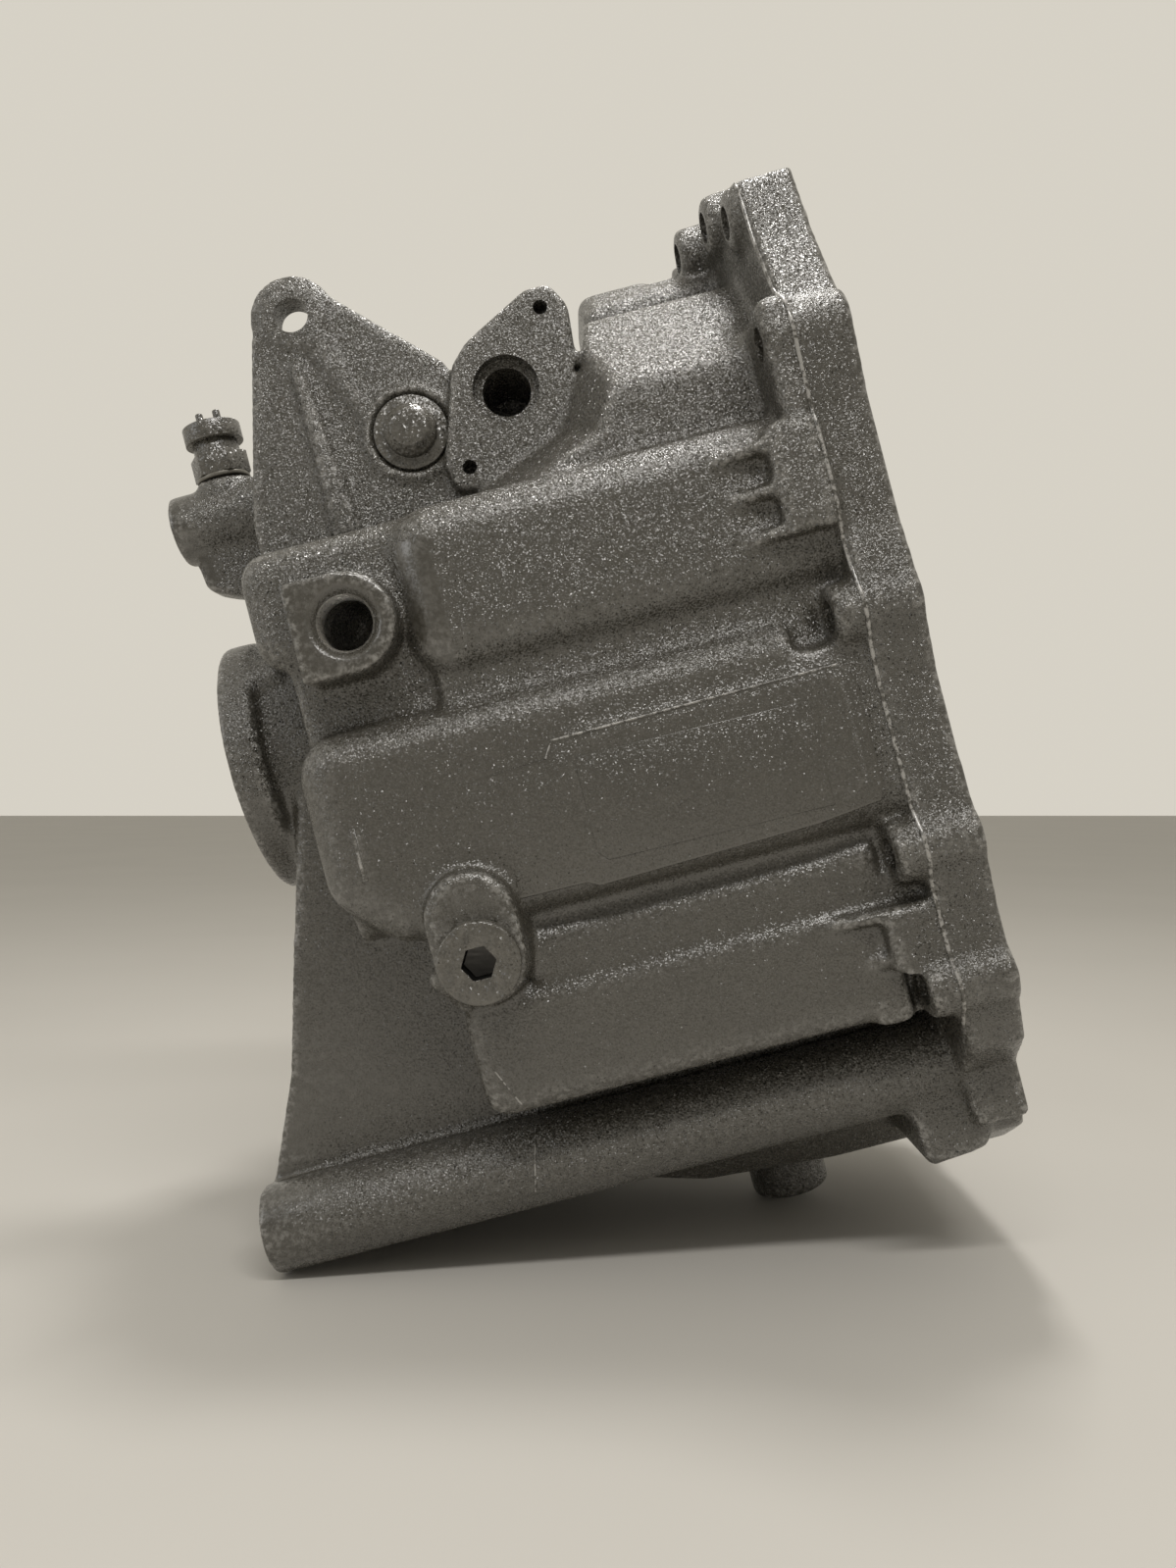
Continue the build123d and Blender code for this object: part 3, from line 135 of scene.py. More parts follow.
class StageSettings(bpy.types.PropertyGroup):
    floor: FloatVectorProperty(
        name="Floor", description="Colour of the floor", subtype="COLOR", size=3,
        default=(0.60, 0.58, 0.54), min=0, max=1,
    )
    wall: FloatVectorProperty(
        name="Wall", description="Colour of the room behind the part", subtype="COLOR", size=3,
        default=(0.675, 0.64, 0.565), min=0, max=1,
    )
    camera_height: FloatProperty(
        name="Camera height", description="Height of the level camera over the floor",
        default=0.1743, min=0.05, max=2.0, unit="LENGTH",
    )
    camera_distance: FloatProperty(
        name="Camera distance", description="Distance of the camera from the middle of the part's box",
        default=0.473, min=0.2, max=5.0, unit="LENGTH",
    )
    lens: FloatProperty(
        name="Lens", description="Focal length in millimetres", default=27.04, min=10, max=200,
    )


# Finishes

COAT_IOR = 1.95
BARE_METAL = (0.36, 0.35, 0.33)
DULL_METAL = (0.26, 0.25, 0.24)
# Each flake's lean grows with the square of its offset, whose mean is a quarter, so that few lean far
LEAN_SCALE = 4.0


class Finish:
    """A procedural finish while it is put together: its material, node tree and shader."""

    def __init__(self, name):
        self.made = bpy.data.materials.new(name)
        self.made.use_nodes = True
        self.tree = self.made.node_tree
        self.shader = self.tree.nodes["Principled BSDF"]
        self.coords = self.tree.nodes.new("ShaderNodeTexCoord").outputs["Object"]

    def add(self, kind, inputs, **settings):
        node = self.tree.nodes.new(kind)
        for key, value in settings.items():
            setattr(node, key, value)
        for key, value in inputs.items():
            self.put(node.inputs[key], value)
        return node

    def put(self, socket, value):
        if isinstance(value, bpy.types.NodeSocket):
            self.tree.links.new(value, socket)
        else:
            socket.default_value = value

    def noise(self, size, detail=2.0, rough=0.5, stretch=None):
        """Noise whose lumps are about as large as size, in metres."""
        where = self.coords
        if stretch:
            where = self.add("ShaderNodeMapping", {"Vector": where, "Scale": stretch}).outputs[0]
        return self.add(
            "ShaderNodeTexNoise", {"Vector": where, "Scale": 1 / size, "Detail": detail, "Roughness": rough}
        ).outputs["Fac"]

    def cells(self, size, smooth):
        """Rounded cells about as large as size, in metres: 0 in their middles."""
        node = self.add(
            "ShaderNodeTexVoronoi", {"Vector": self.coords, "Scale": 1 / size, "Smoothness": smooth},
            feature="SMOOTH_F1",
        )
        return node.outputs["Distance"]

    def span(self, value, low, high, to_low=0.0, to_high=1.0):
        """The value between two limits, spread over a new range."""
        return self.add(
            "ShaderNodeMapRange",
            {"Value": value, "From Min": low, "From Max": high, "To Min": to_low, "To Max": to_high},
        ).outputs[0]

    def plus(self, a, b):
        return self.add("ShaderNodeMath", {0: a, 1: b}, operation="ADD").outputs[0]

    def times(self, a, b):
        return self.add("ShaderNodeMath", {0: a, 1: b}, operation="MULTIPLY").outputs[0]

    def vector(self, how, *values):
        return self.add("ShaderNodeVectorMath", dict(enumerate(values)), operation=how).outputs[0]

    def blend(self, factor, a, b):
        """Colour a turned into b by a factor; sockets 6 and 7 are the node's two colours."""
        node = self.add("ShaderNodeMix", {0: factor}, data_type="RGBA")
        for socket, colour in ((node.inputs[6], a), (node.inputs[7], b)):
            self.put(socket, (*colour, 1.0) if isinstance(colour, (tuple, list)) else colour)
        return node.outputs[2]

    def attribute(self, name):
        return self.add("ShaderNodeAttribute", {}, attribute_name=name).outputs["Fac"]

    def bump(self, height, depth, strength):
        inputs = {"Height": height, "Distance": depth, "Strength": strength}
        return self.add("ShaderNodeBump", inputs).outputs[0]

    def flakes(self, size, tilt, normal):
        """The normal, leaned at random in every small cell, so that single flakes glint."""
        cell = self.add("ShaderNodeTexVoronoi", {"Vector": self.coords, "Scale": 1 / size}).outputs["Color"]
        lean = self.vector("SUBTRACT", cell, (0.5, 0.5, 0.5))
        far = self.add("ShaderNodeVectorMath", {0: lean, 1: lean}, operation="DOT_PRODUCT").outputs["Value"]
        tilt = self.times(self.times(far, LEAN_SCALE), tilt)
        lean = self.add("ShaderNodeVectorMath", {0: lean, "Scale": tilt}, operation="SCALE").outputs[0]
        return self.vector("NORMALIZE", self.vector("ADD", lean, normal))

    def close(self, colour, roughness, normal, metallic=0.0, **rest):
        self.put(self.shader.inputs["Base Color"], colour)
        self.put(self.shader.inputs["Roughness"], roughness)
        self.put(self.shader.inputs["Normal"], normal)
        self.put(self.shader.inputs["Metallic"], metallic)
        for key, value in rest.items():
            self.put(self.shader.inputs[key.replace("_", " ")], value)
        return self.made


def cast_paint(settings):
    """Satin metallic coat sprayed over grainy cast metal, with flecks that catch the light."""
    f = Finish("sprayed_casting")
    grain = settings.grain
    blotch = f.span(f.noise(0.035, 4, 0.6), 0.35, 0.7)
    dust = f.span(f.noise(0.006, 3, 0.6), 0.5, 0.75, 0, 0.35)
    base = f.blend(blotch, tuple(settings.paint), tuple(c * 1.12 for c in settings.paint))
    base = f.blend(dust, base, tuple(settings.paint_light))
    # Wear lightens worn edges towards bare metal; on the beads it is also a painted highlight
    wear = f.times(f.attribute("wear"), f.span(f.noise(0.0022, 3, 0.7), 0.45, 0.62))
    base = f.blend(wear, base, BARE_METAL)
    rough = f.span(f.noise(0.0016, 3, 0.6), 0.3, 0.7, settings.gloss, settings.gloss + 0.12)
    height = f.plus(f.cells(grain, 0.2), f.times(f.noise(grain * 0.8, 2, 0.6), 0.8))
    share = f.attribute("grain")
    normal = f.bump(f.times(height, share), grain * 0.45, 0.8)
    normal = f.flakes(grain * 0.6, f.times(share, settings.flake), normal)
    return f.close(base, rough, normal, 0.0, IOR=COAT_IOR)


def hardware_paint(settings):
    """The same coat on small smooth pieces."""
    f = Finish("sprayed_hardware")
    blotch = f.span(f.noise(0.004, 4, 0.6), 0.35, 0.7)
    base = f.blend(blotch, tuple(settings.paint), tuple(c * 1.2 for c in settings.paint_light))
    wear = f.span(f.noise(0.0012, 3, 0.7), 0.66, 0.74, 0, 0.5)
    base = f.blend(wear, base, DULL_METAL)
    rough = f.span(f.noise(0.0014, 3, 0.6), 0.3, 0.7, settings.gloss, settings.gloss + 0.14)
    normal = f.bump(f.noise(0.0009, 3, 0.6), 0.00012, 0.7)
    normal = f.flakes(settings.grain * 0.8, settings.flake * 0.5, normal)
    return f.close(base, rough, normal, 0.0, IOR=COAT_IOR)


def turned_steel(name, colour, rough_low, rough_high, stain=0.25):
    """Bare or blackened steel with fine tool marks and faint stains."""
    f = Finish(name)
    stains = f.span(f.noise(0.005, 4, 0.65), 0.5, 0.75, 0, stain)
    base = f.blend(stains, tuple(colour), tuple(c * 0.45 for c in colour))
    marks = f.noise(0.0009, 3, 0.6, (0.1, 1.0, 1.0))
    rough = f.span(marks, 0.3, 0.7, rough_low, rough_high)
    normal = f.bump(marks, 0.00004, 0.4)
    return f.close(base, rough, normal, 1.0)


def plain_finish(name, colour, rough, depth, metallic=0.0):
    """Rubber, plastic or soft washer metal: fine texture and slight dirt."""
    f = Finish(name)
    dirt = f.span(f.noise(0.004, 4, 0.6), 0.45, 0.75, 0, 0.45)
    base = f.blend(dirt, tuple(colour), tuple(min(1, c * 1.5 + 0.01) for c in colour))
    roughness = f.span(f.noise(0.0015, 3, 0.6), 0.3, 0.7, rough - 0.07, rough + 0.08)
    return f.close(base, roughness, f.bump(f.noise(0.0008, 2, 0.5), depth, 0.6), metallic)


def floor_finish(settings):
    f = Finish("floor_finish")
    cloud = f.noise(0.25, 3, 0.5)
    base = f.blend(f.span(cloud, 0.3, 0.7), tuple(settings.floor), tuple(c * 0.97 for c in settings.floor))
    return f.close(base, 0.75, f.bump(f.noise(0.004, 2, 0.5), 0.00005, 0.2))


def finishes():
    """The finishes by name, made once."""
    scene = bpy.context.scene
    if "sprayed_casting" not in bpy.data.materials:
        cast_paint(scene.casting_settings)
        hardware_paint(scene.casting_settings)
        hardware = scene.hardware_settings
        turned_steel("bare_steel", hardware.steel, 0.22, 0.4)
        turned_steel("polished_steel", hardware.steel, 0.08, 0.16, 0.1)
        turned_steel("blackened_steel", hardware.dark_steel, 0.35, 0.55)
        turned_steel("yellow_brass", hardware.brass, 0.3, 0.45)
        plain_finish("lip_rubber", (0.03, 0.03, 0.03), 0.55, 0.00005)
        plain_finish("washer_metal", (0.2, 0.19, 0.165), 0.42, 0.00006, metallic=0.5)
    return bpy.data.materials


# Shared helpers


def put_in_scene(name, mesh):
    made = bpy.data.objects.new(name, mesh)
    bpy.context.scene.collection.objects.link(made)
    return made


def applied(made):
    """Mesh of the object with its modifiers applied; the object itself goes."""
    bpy.context.view_layer.update()
    graph = bpy.context.evaluated_depsgraph_get()
    mesh = bpy.data.meshes.new_from_object(made.evaluated_get(graph))
    old = made.data
    bpy.data.objects.remove(made)
    bpy.data.meshes.remove(old)
    return mesh


def settle(made, body, slot, finish, *nodes):
    """Hands a finished piece to the part: finish, body, slot (not used) and the nodes it stands for."""
    made.data.materials.clear()
    made.data.materials.append(finishes()[finish])
    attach(made, body)
    if nodes:
        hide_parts(*nodes)
    return made


def points_of(mesh):
    flat = np.empty(len(mesh.vertices) * 3, np.float32)
    mesh.vertices.foreach_get("co", flat)
    return flat.reshape(-1, 3).astype(float)


def edges_of(mesh):
    flat = np.empty(len(mesh.edges) * 2, np.int32)
    mesh.edges.foreach_get("vertices", flat)
    return flat.reshape(-1, 2)


def set_points(mesh, points):
    mesh.vertices.foreach_set("co", points.astype(np.float32).ravel())
    mesh.update()


def neighbour_mean(points, edges, counts):
    """Mean of each point's neighbours along the mesh edges."""
    total = np.empty_like(points)
    for k in range(3):
        total[:, k] = np.bincount(edges[:, 0], points[edges[:, 1], k], len(points))
        total[:, k] += np.bincount(edges[:, 1], points[edges[:, 0], k], len(points))
    return total / counts[:, None]


def shade(mesh, crisp):
    """Smooth shading, with edges sharper than the angle kept crisp."""
    mesh.shade_smooth()
    mesh.set_sharp_from_angle(angle=crisp)


def store_on_points(mesh, name, values):
    """Keeps one value for each point under a name that the finishes read."""
    layer = mesh.attributes.get(name) or mesh.attributes.new(name, "FLOAT", "POINT")
    layer.data.foreach_set("value", values.astype(np.float32))


def cylinder(target, start, along, length, radius, far_radius=None, sides=48):
    """Adds a closed cylinder or cone to a bmesh, from start along a direction, in the case frame."""
    turn = Vector(along).to_track_quat("Z", "Y").to_matrix().to_4x4()
    middle = Vector(start) + Vector(along) * (length / 2)
    bmesh.ops.create_cone(
        target, cap_ends=True, segments=sides, radius1=radius * MM,
        radius2=(radius if far_radius is None else far_radius) * MM, depth=length * MM,
        matrix=Matrix.Translation(middle * MM) @ turn,
    )


def mesh_from(made_bmesh, name):
    mesh = bpy.data.meshes.new(name)
    made_bmesh.normal_update()
    made_bmesh.to_mesh(mesh)
    made_bmesh.free()
    return mesh


# The casting

# Bolt holes of the joint flange: Y, Z and how far the boss stands behind the flange, in mm
FLANGE_FACE_X = 119.0
FLANGE_BACK_X = 99.0
BOLT_R = 5.5
FLANGE_BOLTS = (
    (-69, 125, 9), (-69, 33, 9), (-68, -47, 9), (-66, -93, 9), (-44, 177, 4), (-12, 191, 5), (21, 196, 11),
    (56, 196, 9), (88, 168, 9), (108, 122, 9), (112, 50, 9), (112, -20, 9), (100, -88, 9), (88, -157, 9),
)
# Speedometer bore and the cone that leads into it, in mm
BORE_X = -63.0
BORE_Z = 70.0
BORE_R = 9.5
LEAD_IN_START_Y = -76.02
LEAD_IN_DEPTH = 2.8
LEAD_IN_R = 12.3
# Floors that level the pockets behind three near bolts with the case around them: low and high corner
POCKET_FLOORS = (
    ((74, -63.5, 23), (86, -58, 43)),
    ((74, -63, -58), (86, -57, -43)),
    ((74, -65, -103), (86, -56, -84)),
)
PAD_RIM_R = 12.0
BULGE_FACE_Y = -71.0
PANEL_RISE = 1.15
PANEL = (
    (-76, -19), (-65.6, -30.5), (-8, -31), (-4.5, -33), (69.5, -31.3), (91, -29), (93, -24), (93, 12),
    (88, 17.4), (-8, 16.5), (-11.2, 11.3), (-76, 10),
)
FIELD_RISE = 0.35
PANEL_FIELD = ((-2.5, -22), (0.5, -25.5), (76, -26.5), (76, 8.5), (-0.7, 9.6), (-2.5, 7.5))
# Thin beads on the near side, as X and Z with their radius: flange flash, panel edges, sump parting line
BEADS = (
    (((99.5, 190), (99.5, -108)), 0.75),
    (((-11.2, 11.3), (-8, 16.6), (88, 17.4)), 0.45),
    (((-53.5, -84.3), (-46.2, -100.7), (-47.6, -110.4), (-52.9, -132.1)), 0.28),
)
BAR_RISE = 0.9
BAR_MARK = ((-78.6, -12.5), (-76.8, -12.5), (-77.0, 5.2), (-78.8, 5.2))
# Machined holes that are closed while the skin is rounded, then cut crisp: start, direction, radius, depth
SIDE_HOLES = (
    ((-61.5, -29.5, 190.5), (0, 1, 0), 6.2, 12.5),
    ((BORE_X, -76, BORE_Z), (0, 1, 0), BORE_R, 24.0),
    ((7, -34, 144), (0, 1, 0), 8.8, 40.0),
    ((7, -34, 144), (0, 1, 0), PAD_RIM_R, 4.6),
    ((26, -34, 169), (0, 1, 0), 2.6, 10.0),
    ((-12.5, -34, 120), (0, 1, 0), 2.6, 10.0),
    ((-149, -32, -126), (1, 0, 0), 6.5, 40.0),
    ((-149, 98, -126), (1, 0, 0), 6.5, 40.0),
)
# How far a hole's filling reaches into the metal around it, and how far a cutter stands out of the metal
FILLING_OVERLAP = 0.3
CUTTER_OVERLAP = 3.0
CUTTER_SIDES = 64

# Boxes of the case frame, in mm, that take less rounding than the rest: low corner, high corner and share.
# Of two boxes that hold a point, the later one counts.
FAR = 1000.0
FULL_ROUNDING = 1.0
LESS_ROUNDED = (
    # Joint face
    ((112, -FAR, -FAR), (FAR, FAR, FAR), 0.35),
    # Rear flange
    ((-FAR, -FAR, -FAR), (-118, FAR, FAR), 0.3),
    # Speedometer boss
    ((-85, -FAR, 50), (-41, -69, 90), 0.12),
    # Selector pad and lifting lug
    ((-FAR, -FAR, 108), (40, -25, FAR), 0.45),
    # Wedge ribs above and below
    ((56, -FAR, 60), (99, -55, 100), 0.4),
    ((54, -FAR, -96), (99, -55, -60), 0.4),
    # Fill boss
    ((-66, -FAR, -64), (-28, -70, -12), 0.35),
)
# How grainy the coat is, given in the same way
MAIN_GRAIN = 0.4
GRAIN = (
    # Upper half, joint flange and lower tubes
    ((-FAR, -FAR, 26), (FAR, FAR, FAR), 0.75),
    ((88, -FAR, -FAR), (FAR, FAR, FAR), 0.75),
    ((-FAR, -FAR, -FAR), (FAR, FAR, -108), 0.75),
    # Flat of the upper bulge
    ((-FAR, -FAR, 26), (60, -69.5, FAR), 0.5),
    # Machined faces at both ends
    ((117.5, -FAR, -FAR), (FAR, FAR, FAR), 0.12),
    ((-FAR, -FAR, -FAR), (-122.5, FAR, FAR), 0.12),
    # Speedometer boss and the smooth patch beside it
    ((-83, -FAR, 52), (-43, -75, 88), 0.15),
    ((-46, -FAR, 34), (-31, -66, 92), 0.1),
)
ROUNDING_STEP = 0.6
RELIEF_PASSES = 3
# Relief at which an edge counts as fully worn, as a share of the skin's spacing
WORN_RELIEF = 0.05
EDGE_WEAR = 0.6
CASTING_CRISP = radians(50)


def hole_list():
    """Every crisp hole of the casting: start, direction, radius and depth, in mm."""
    holes = [
        ((FLANGE_BACK_X - boss, y, z), (1, 0, 0), BOLT_R, FLANGE_FACE_X - FLANGE_BACK_X + boss)
        for y, z, boss in FLANGE_BOLTS
    ]
    return holes + list(SIDE_HOLES)


def in_boxes(points, boxes, rest):
    """A value for each point of the case frame: rest, or that of the last box that holds it."""
    values = np.full(len(points), rest)
    for low, high, value in boxes:
        held = (points > np.array(low) * MM) & (points < np.array(high) * MM)
        values[held.all(1)] = value
    return values


def case_skin(settings):
    """Skin of the whole casting with its holes closed, evenly meshed, in the case frame."""
    mesh = frame["nodes"]["housing"].data.copy()
    mesh.transform(TO_CASE)
    work = bmesh.new()
    work.from_mesh(mesh)
    for start, along, radius, depth in hole_list():
        cylinder(work, start, along, depth, radius + FILLING_OVERLAP)
    for low, high in POCKET_FLOORS:
        middle = (Vector(low) + Vector(high)) / 2
        size = Vector(high) - Vector(low)
        place = Matrix.Translation(middle * MM) @ Matrix.Diagonal((*(size * MM), 1))
        bmesh.ops.create_cube(work, size=1.0, matrix=place)
    work.to_mesh(mesh)
    work.free()
    made = put_in_scene("case_skin", mesh)
    skin = made.modifiers.new("skin", "REMESH")
    skin.mode = "VOXEL"
    skin.voxel_size = settings.skin_size
    return applied(made)


def rounded(mesh, passes):
    """Rounds edges and inner corners as casting and paint do, and returns the points and their relief."""
    points, edges = points_of(mesh), edges_of(mesh)
    counts = np.bincount(edges.ravel(), minlength=len(points)).astype(float)
    share = in_boxes(points, LESS_ROUNDED, FULL_ROUNDING)[:, None]
    for _ in range(passes):
        points += share * ROUNDING_STEP * (neighbour_mean(points, edges, counts) - points)
    set_points(mesh, points)
    normals = np.empty(len(points) * 3, np.float32)
    mesh.vertices.foreach_get("normal", normals)
    normals = normals.reshape(-1, 3)
    relief = ((points - neighbour_mean(points, edges, counts)) * normals).sum(1)[:, None]
    for _ in range(RELIEF_PASSES):
        relief = 0.5 * (relief + neighbour_mean(relief.repeat(3, 1), edges, counts)[:, :1])
    return points, relief[:, 0]


def thinned(mesh, faces):
    made = put_in_scene("case_thin", mesh)
    fewer = made.modifiers.new("fewer", "DECIMATE")
    fewer.ratio = min(1.0, faces / (2 * len(mesh.polygons)))
    return applied(made)


def cut(mesh, cutter):
    """Mesh less the cutter, with crisp rims."""
    made = put_in_scene("case_cut", mesh)
    tool = put_in_scene("cutter", cutter)
    less = made.modifiers.new("less", "BOOLEAN")
    less.operation = "DIFFERENCE"
    less.object = tool
    less.solver = "MANIFOLD"
    out = applied(made)
    bpy.data.objects.remove(tool)
    return out


def hole_cutters():
    """Cutting forms of the crisp holes, in sets whose members don't touch each other."""
    holes, rims = bmesh.new(), bmesh.new()
    for start, along, radius, depth in hole_list():
        back = Vector(start) - Vector(along) * CUTTER_OVERLAP
        target = rims if radius == PAD_RIM_R else holes
        ends = 2 if radius == BOLT_R else 1
        cylinder(target, back, along, depth + ends * CUTTER_OVERLAP, radius, sides=CUTTER_SIDES)
    lead_in = (BORE_X, LEAD_IN_START_Y, BORE_Z)
    cylinder(rims, lead_in, (0, 1, 0), LEAD_IN_DEPTH, LEAD_IN_R, BORE_R, CUTTER_SIDES)
    return [mesh_from(holes, "hole_cutter"), mesh_from(rims, "rim_cutter")]


class GEARBOX_OT_casting(bpy.types.Operator):
    """Rounds the hollow casting, cuts its machined holes and paints it"""

    bl_idname = "gearbox.casting"
    bl_label = "Casting"

    def execute(self, context):
        settings = context.scene.casting_settings
        skin = case_skin(settings)
        points, relief = rounded(skin, settings.rounding)
        mesh = thinned(skin, settings.faces)
        tree = KDTree(len(points))
        for number, point in enumerate(points):
            tree.insert(point, number)
        tree.balance()
        for cutter in hole_cutters():
            mesh = cut(mesh, cutter)
        kept = [tree.find(point)[1] for point in points_of(mesh)]
        wear = np.clip(relief[kept] / (settings.skin_size * WORN_RELIEF), 0, 1)
        store_on_points(mesh, "wear", wear * EDGE_WEAR)
        store_on_points(mesh, "grain", in_boxes(points_of(mesh), GRAIN, MAIN_GRAIN))
        mesh.transform(TO_ROW)
        shade(mesh, CASTING_CRISP)
        settle(put_in_scene("casting", mesh), "case", "cast_paint", "sprayed_casting", "housing")
        return {"FINISHED"}


# Turned and milled pieces

SHARP_EDGE = radians(32)
MACHINED_CRISP = radians(38)
THREAD_CRISP = radians(30)


def broken_edges(name, width):
    """Copy of a CAD node with its sharp edges broken by a small round."""
    work = bmesh.new()
    work.from_mesh(frame["nodes"][name].data)
    bmesh.ops.remove_doubles(work, verts=work.verts, dist=1e-6)
    bmesh.ops.dissolve_limit(work, angle_limit=radians(0.5), verts=work.verts, edges=work.edges)
    sharp = [e for e in work.edges if len(e.link_faces) == 2 and e.calc_face_angle(0) > SHARP_EDGE]
    bmesh.ops.bevel(
        work, geom=sharp, offset=width, offset_type="OFFSET", segments=2, profile=0.5, affect="EDGES",
        clamp_overlap=True,
    )
    bmesh.ops.triangulate(work, faces=[face for face in work.faces if len(face.verts) > 4])
    mesh = mesh_from(work, name)
    shade(mesh, MACHINED_CRISP)
    return mesh


# Thread inside the speedometer bore, in mm
THREAD_START_Y = -73.2
THREAD_LENGTH = 10.5
THREAD_CREST_R = 8.9
THREAD_ROOT_R = 9.45
THREAD_BACK_R = 9.9
THREAD_SIDES = 72

# Reach of the painted shade in the fill plug's socket, in mm: farthest from its axis, and least depth behind
# its front
SOCKET_REACH = 6.2
SOCKET_RIM = 0.6

# Each node's body, slot and finish, for the pieces whose form needs only broken edges
MACHINED = {
    "fill_plug": ("case", "cast_paint", "sprayed_hardware"),
    "fill_plug_washer": ("case", "soft_metal", "washer_metal"),
    "drain_plug": ("case", "cast_paint", "sprayed_hardware"),
    "drain_plug_washer": ("case", "soft_metal", "washer_metal"),
    "detent_cap": ("case", "cast_paint", "sprayed_hardware"),
    "detent_spring": ("case", "steel", "bare_steel"),
    "rail_end_plug": ("case", "dark_steel", "blackened_steel"),
    "switch_body": ("case", "dark_steel", "sprayed_hardware"),
    "switch_washer": ("case", "soft_metal", "washer_metal"),
    "switch_connector": ("case", "plastic", "sprayed_hardware"),
    "switch_pins": ("case", "pin_brass", "sprayed_hardware"),
    "switch_plunger": ("switch_button", "steel", "bare_steel"),
    "bearing_outer_ring": ("case", "steel", "bare_steel"),
    "bearing_inner_ring": ("output", "steel", "bare_steel"),
    "bearing_rollers": ("roller_set", "steel", "bare_steel"),
    "bearing_cage": ("roller_set", "pin_brass", "yellow_brass"),
    "bearing_retaining_ring": ("case", "dark_steel", "blackened_steel"),
    "output_seal": ("case", "seal_rubber", "lip_rubber"),
    "output_shaft": ("output", "steel", "bare_steel"),
    "speedometer_gear": ("output", "steel", "polished_steel"),
    "gear_retaining_ring": ("output", "dark_steel", "blackened_steel"),
    "countershaft_ring": ("case", "steel", "bare_steel"),
    "dowel_upper": ("case", "steel", "bare_steel"),
    "dowel_lower": ("case", "steel", "bare_steel"),
    "selector_rail": ("selector", "steel", "bare_steel"),
    "selector_finger": ("selector", "dark_steel", "blackened_steel"),
    "finger_pin": ("selector", "steel", "bare_steel"),
    "detent_plunger": ("detent", "steel", "bare_steel"),
}


# Marks of the near side: where the rays that lay the beads on it start and how close they are, in mm,
# then the grain of flats and of edges, and the wear of the beads, which is partly real wear and partly a
# painted highlight along them
RAY_START_Y = -160.0
BEAD_STEP = 2.5
FLAT_GRAIN = 0.4
EDGE_GRAIN = 0.03
BEAD_WEAR_AND_HIGHLIGHT = 2.0


def plateau(target, outline, face_y, thick, edge, sunk_before_x=None):
    """Adds a thin raised plate on the near side to a bmesh: outline as X and Z, in the case frame.

    Its front edges are broken, and its corners left of sunk_before_x lie inside the wall.
    """
    corners = []
    for x, z in outline:
        sunk = sunk_before_x is not None and x < sunk_before_x
        y = face_y + thick * 0.9 if sunk else face_y
        corners.append(target.verts.new(Vector((x, y, z)) * MM))
    front = target.faces.new(corners)
    front.normal_update()
    if front.normal.y > 0:
        front.normal_flip()
    made = bmesh.ops.extrude_face_region(target, geom=[front])
    for item in made["geom"]:
        if isinstance(item, bmesh.types.BMVert):
            item.co.y = (face_y + thick) * MM
    bmesh.ops.bevel(target, geom=list(front.edges), offset=edge * MM, segments=2, profile=0.6, affect="EDGES")


def laid_on(tree, line):
    """Points of a line of X and Z, laid on the near side of the casting, in the row frame."""
    points = []
    for (x0, z0), (x1, z1) in zip(line, line[1:]):
        count = max(1, round(Vector((x1 - x0, z1 - z0)).length / BEAD_STEP))
        points += [(x0 + (x1 - x0) * k / count, z0 + (z1 - z0) * k / count) for k in range(count)]
    points.append(line[-1])
    starts = [TO_ROW @ (Vector((x, RAY_START_Y, z)) * MM) for x, z in points]
    hits = [tree.ray_cast(start, Vector((0, 1, 0)))[0] for start in starts]
    return [hit for hit in hits if hit is not None]


def bead(points, radius):
    """Mesh of a thin round bead along the points."""
    curve = bpy.data.curves.new("bead", "CURVE")
    curve.dimensions = "3D"
    curve.bevel_depth = radius * MM
    curve.bevel_resolution = 2
    curve.use_fill_caps = True
    spline = curve.splines.new("POLY")
    spline.points.add(len(points) - 1)
    for target, point in zip(spline.points, points):
        target.co = (*point, 1)
    made = put_in_scene("bead", curve)
    bpy.context.view_layer.update()
    mesh = bpy.data.meshes.new_from_object(made.evaluated_get(bpy.context.evaluated_depsgraph_get()))
    bpy.data.objects.remove(made)
    return mesh


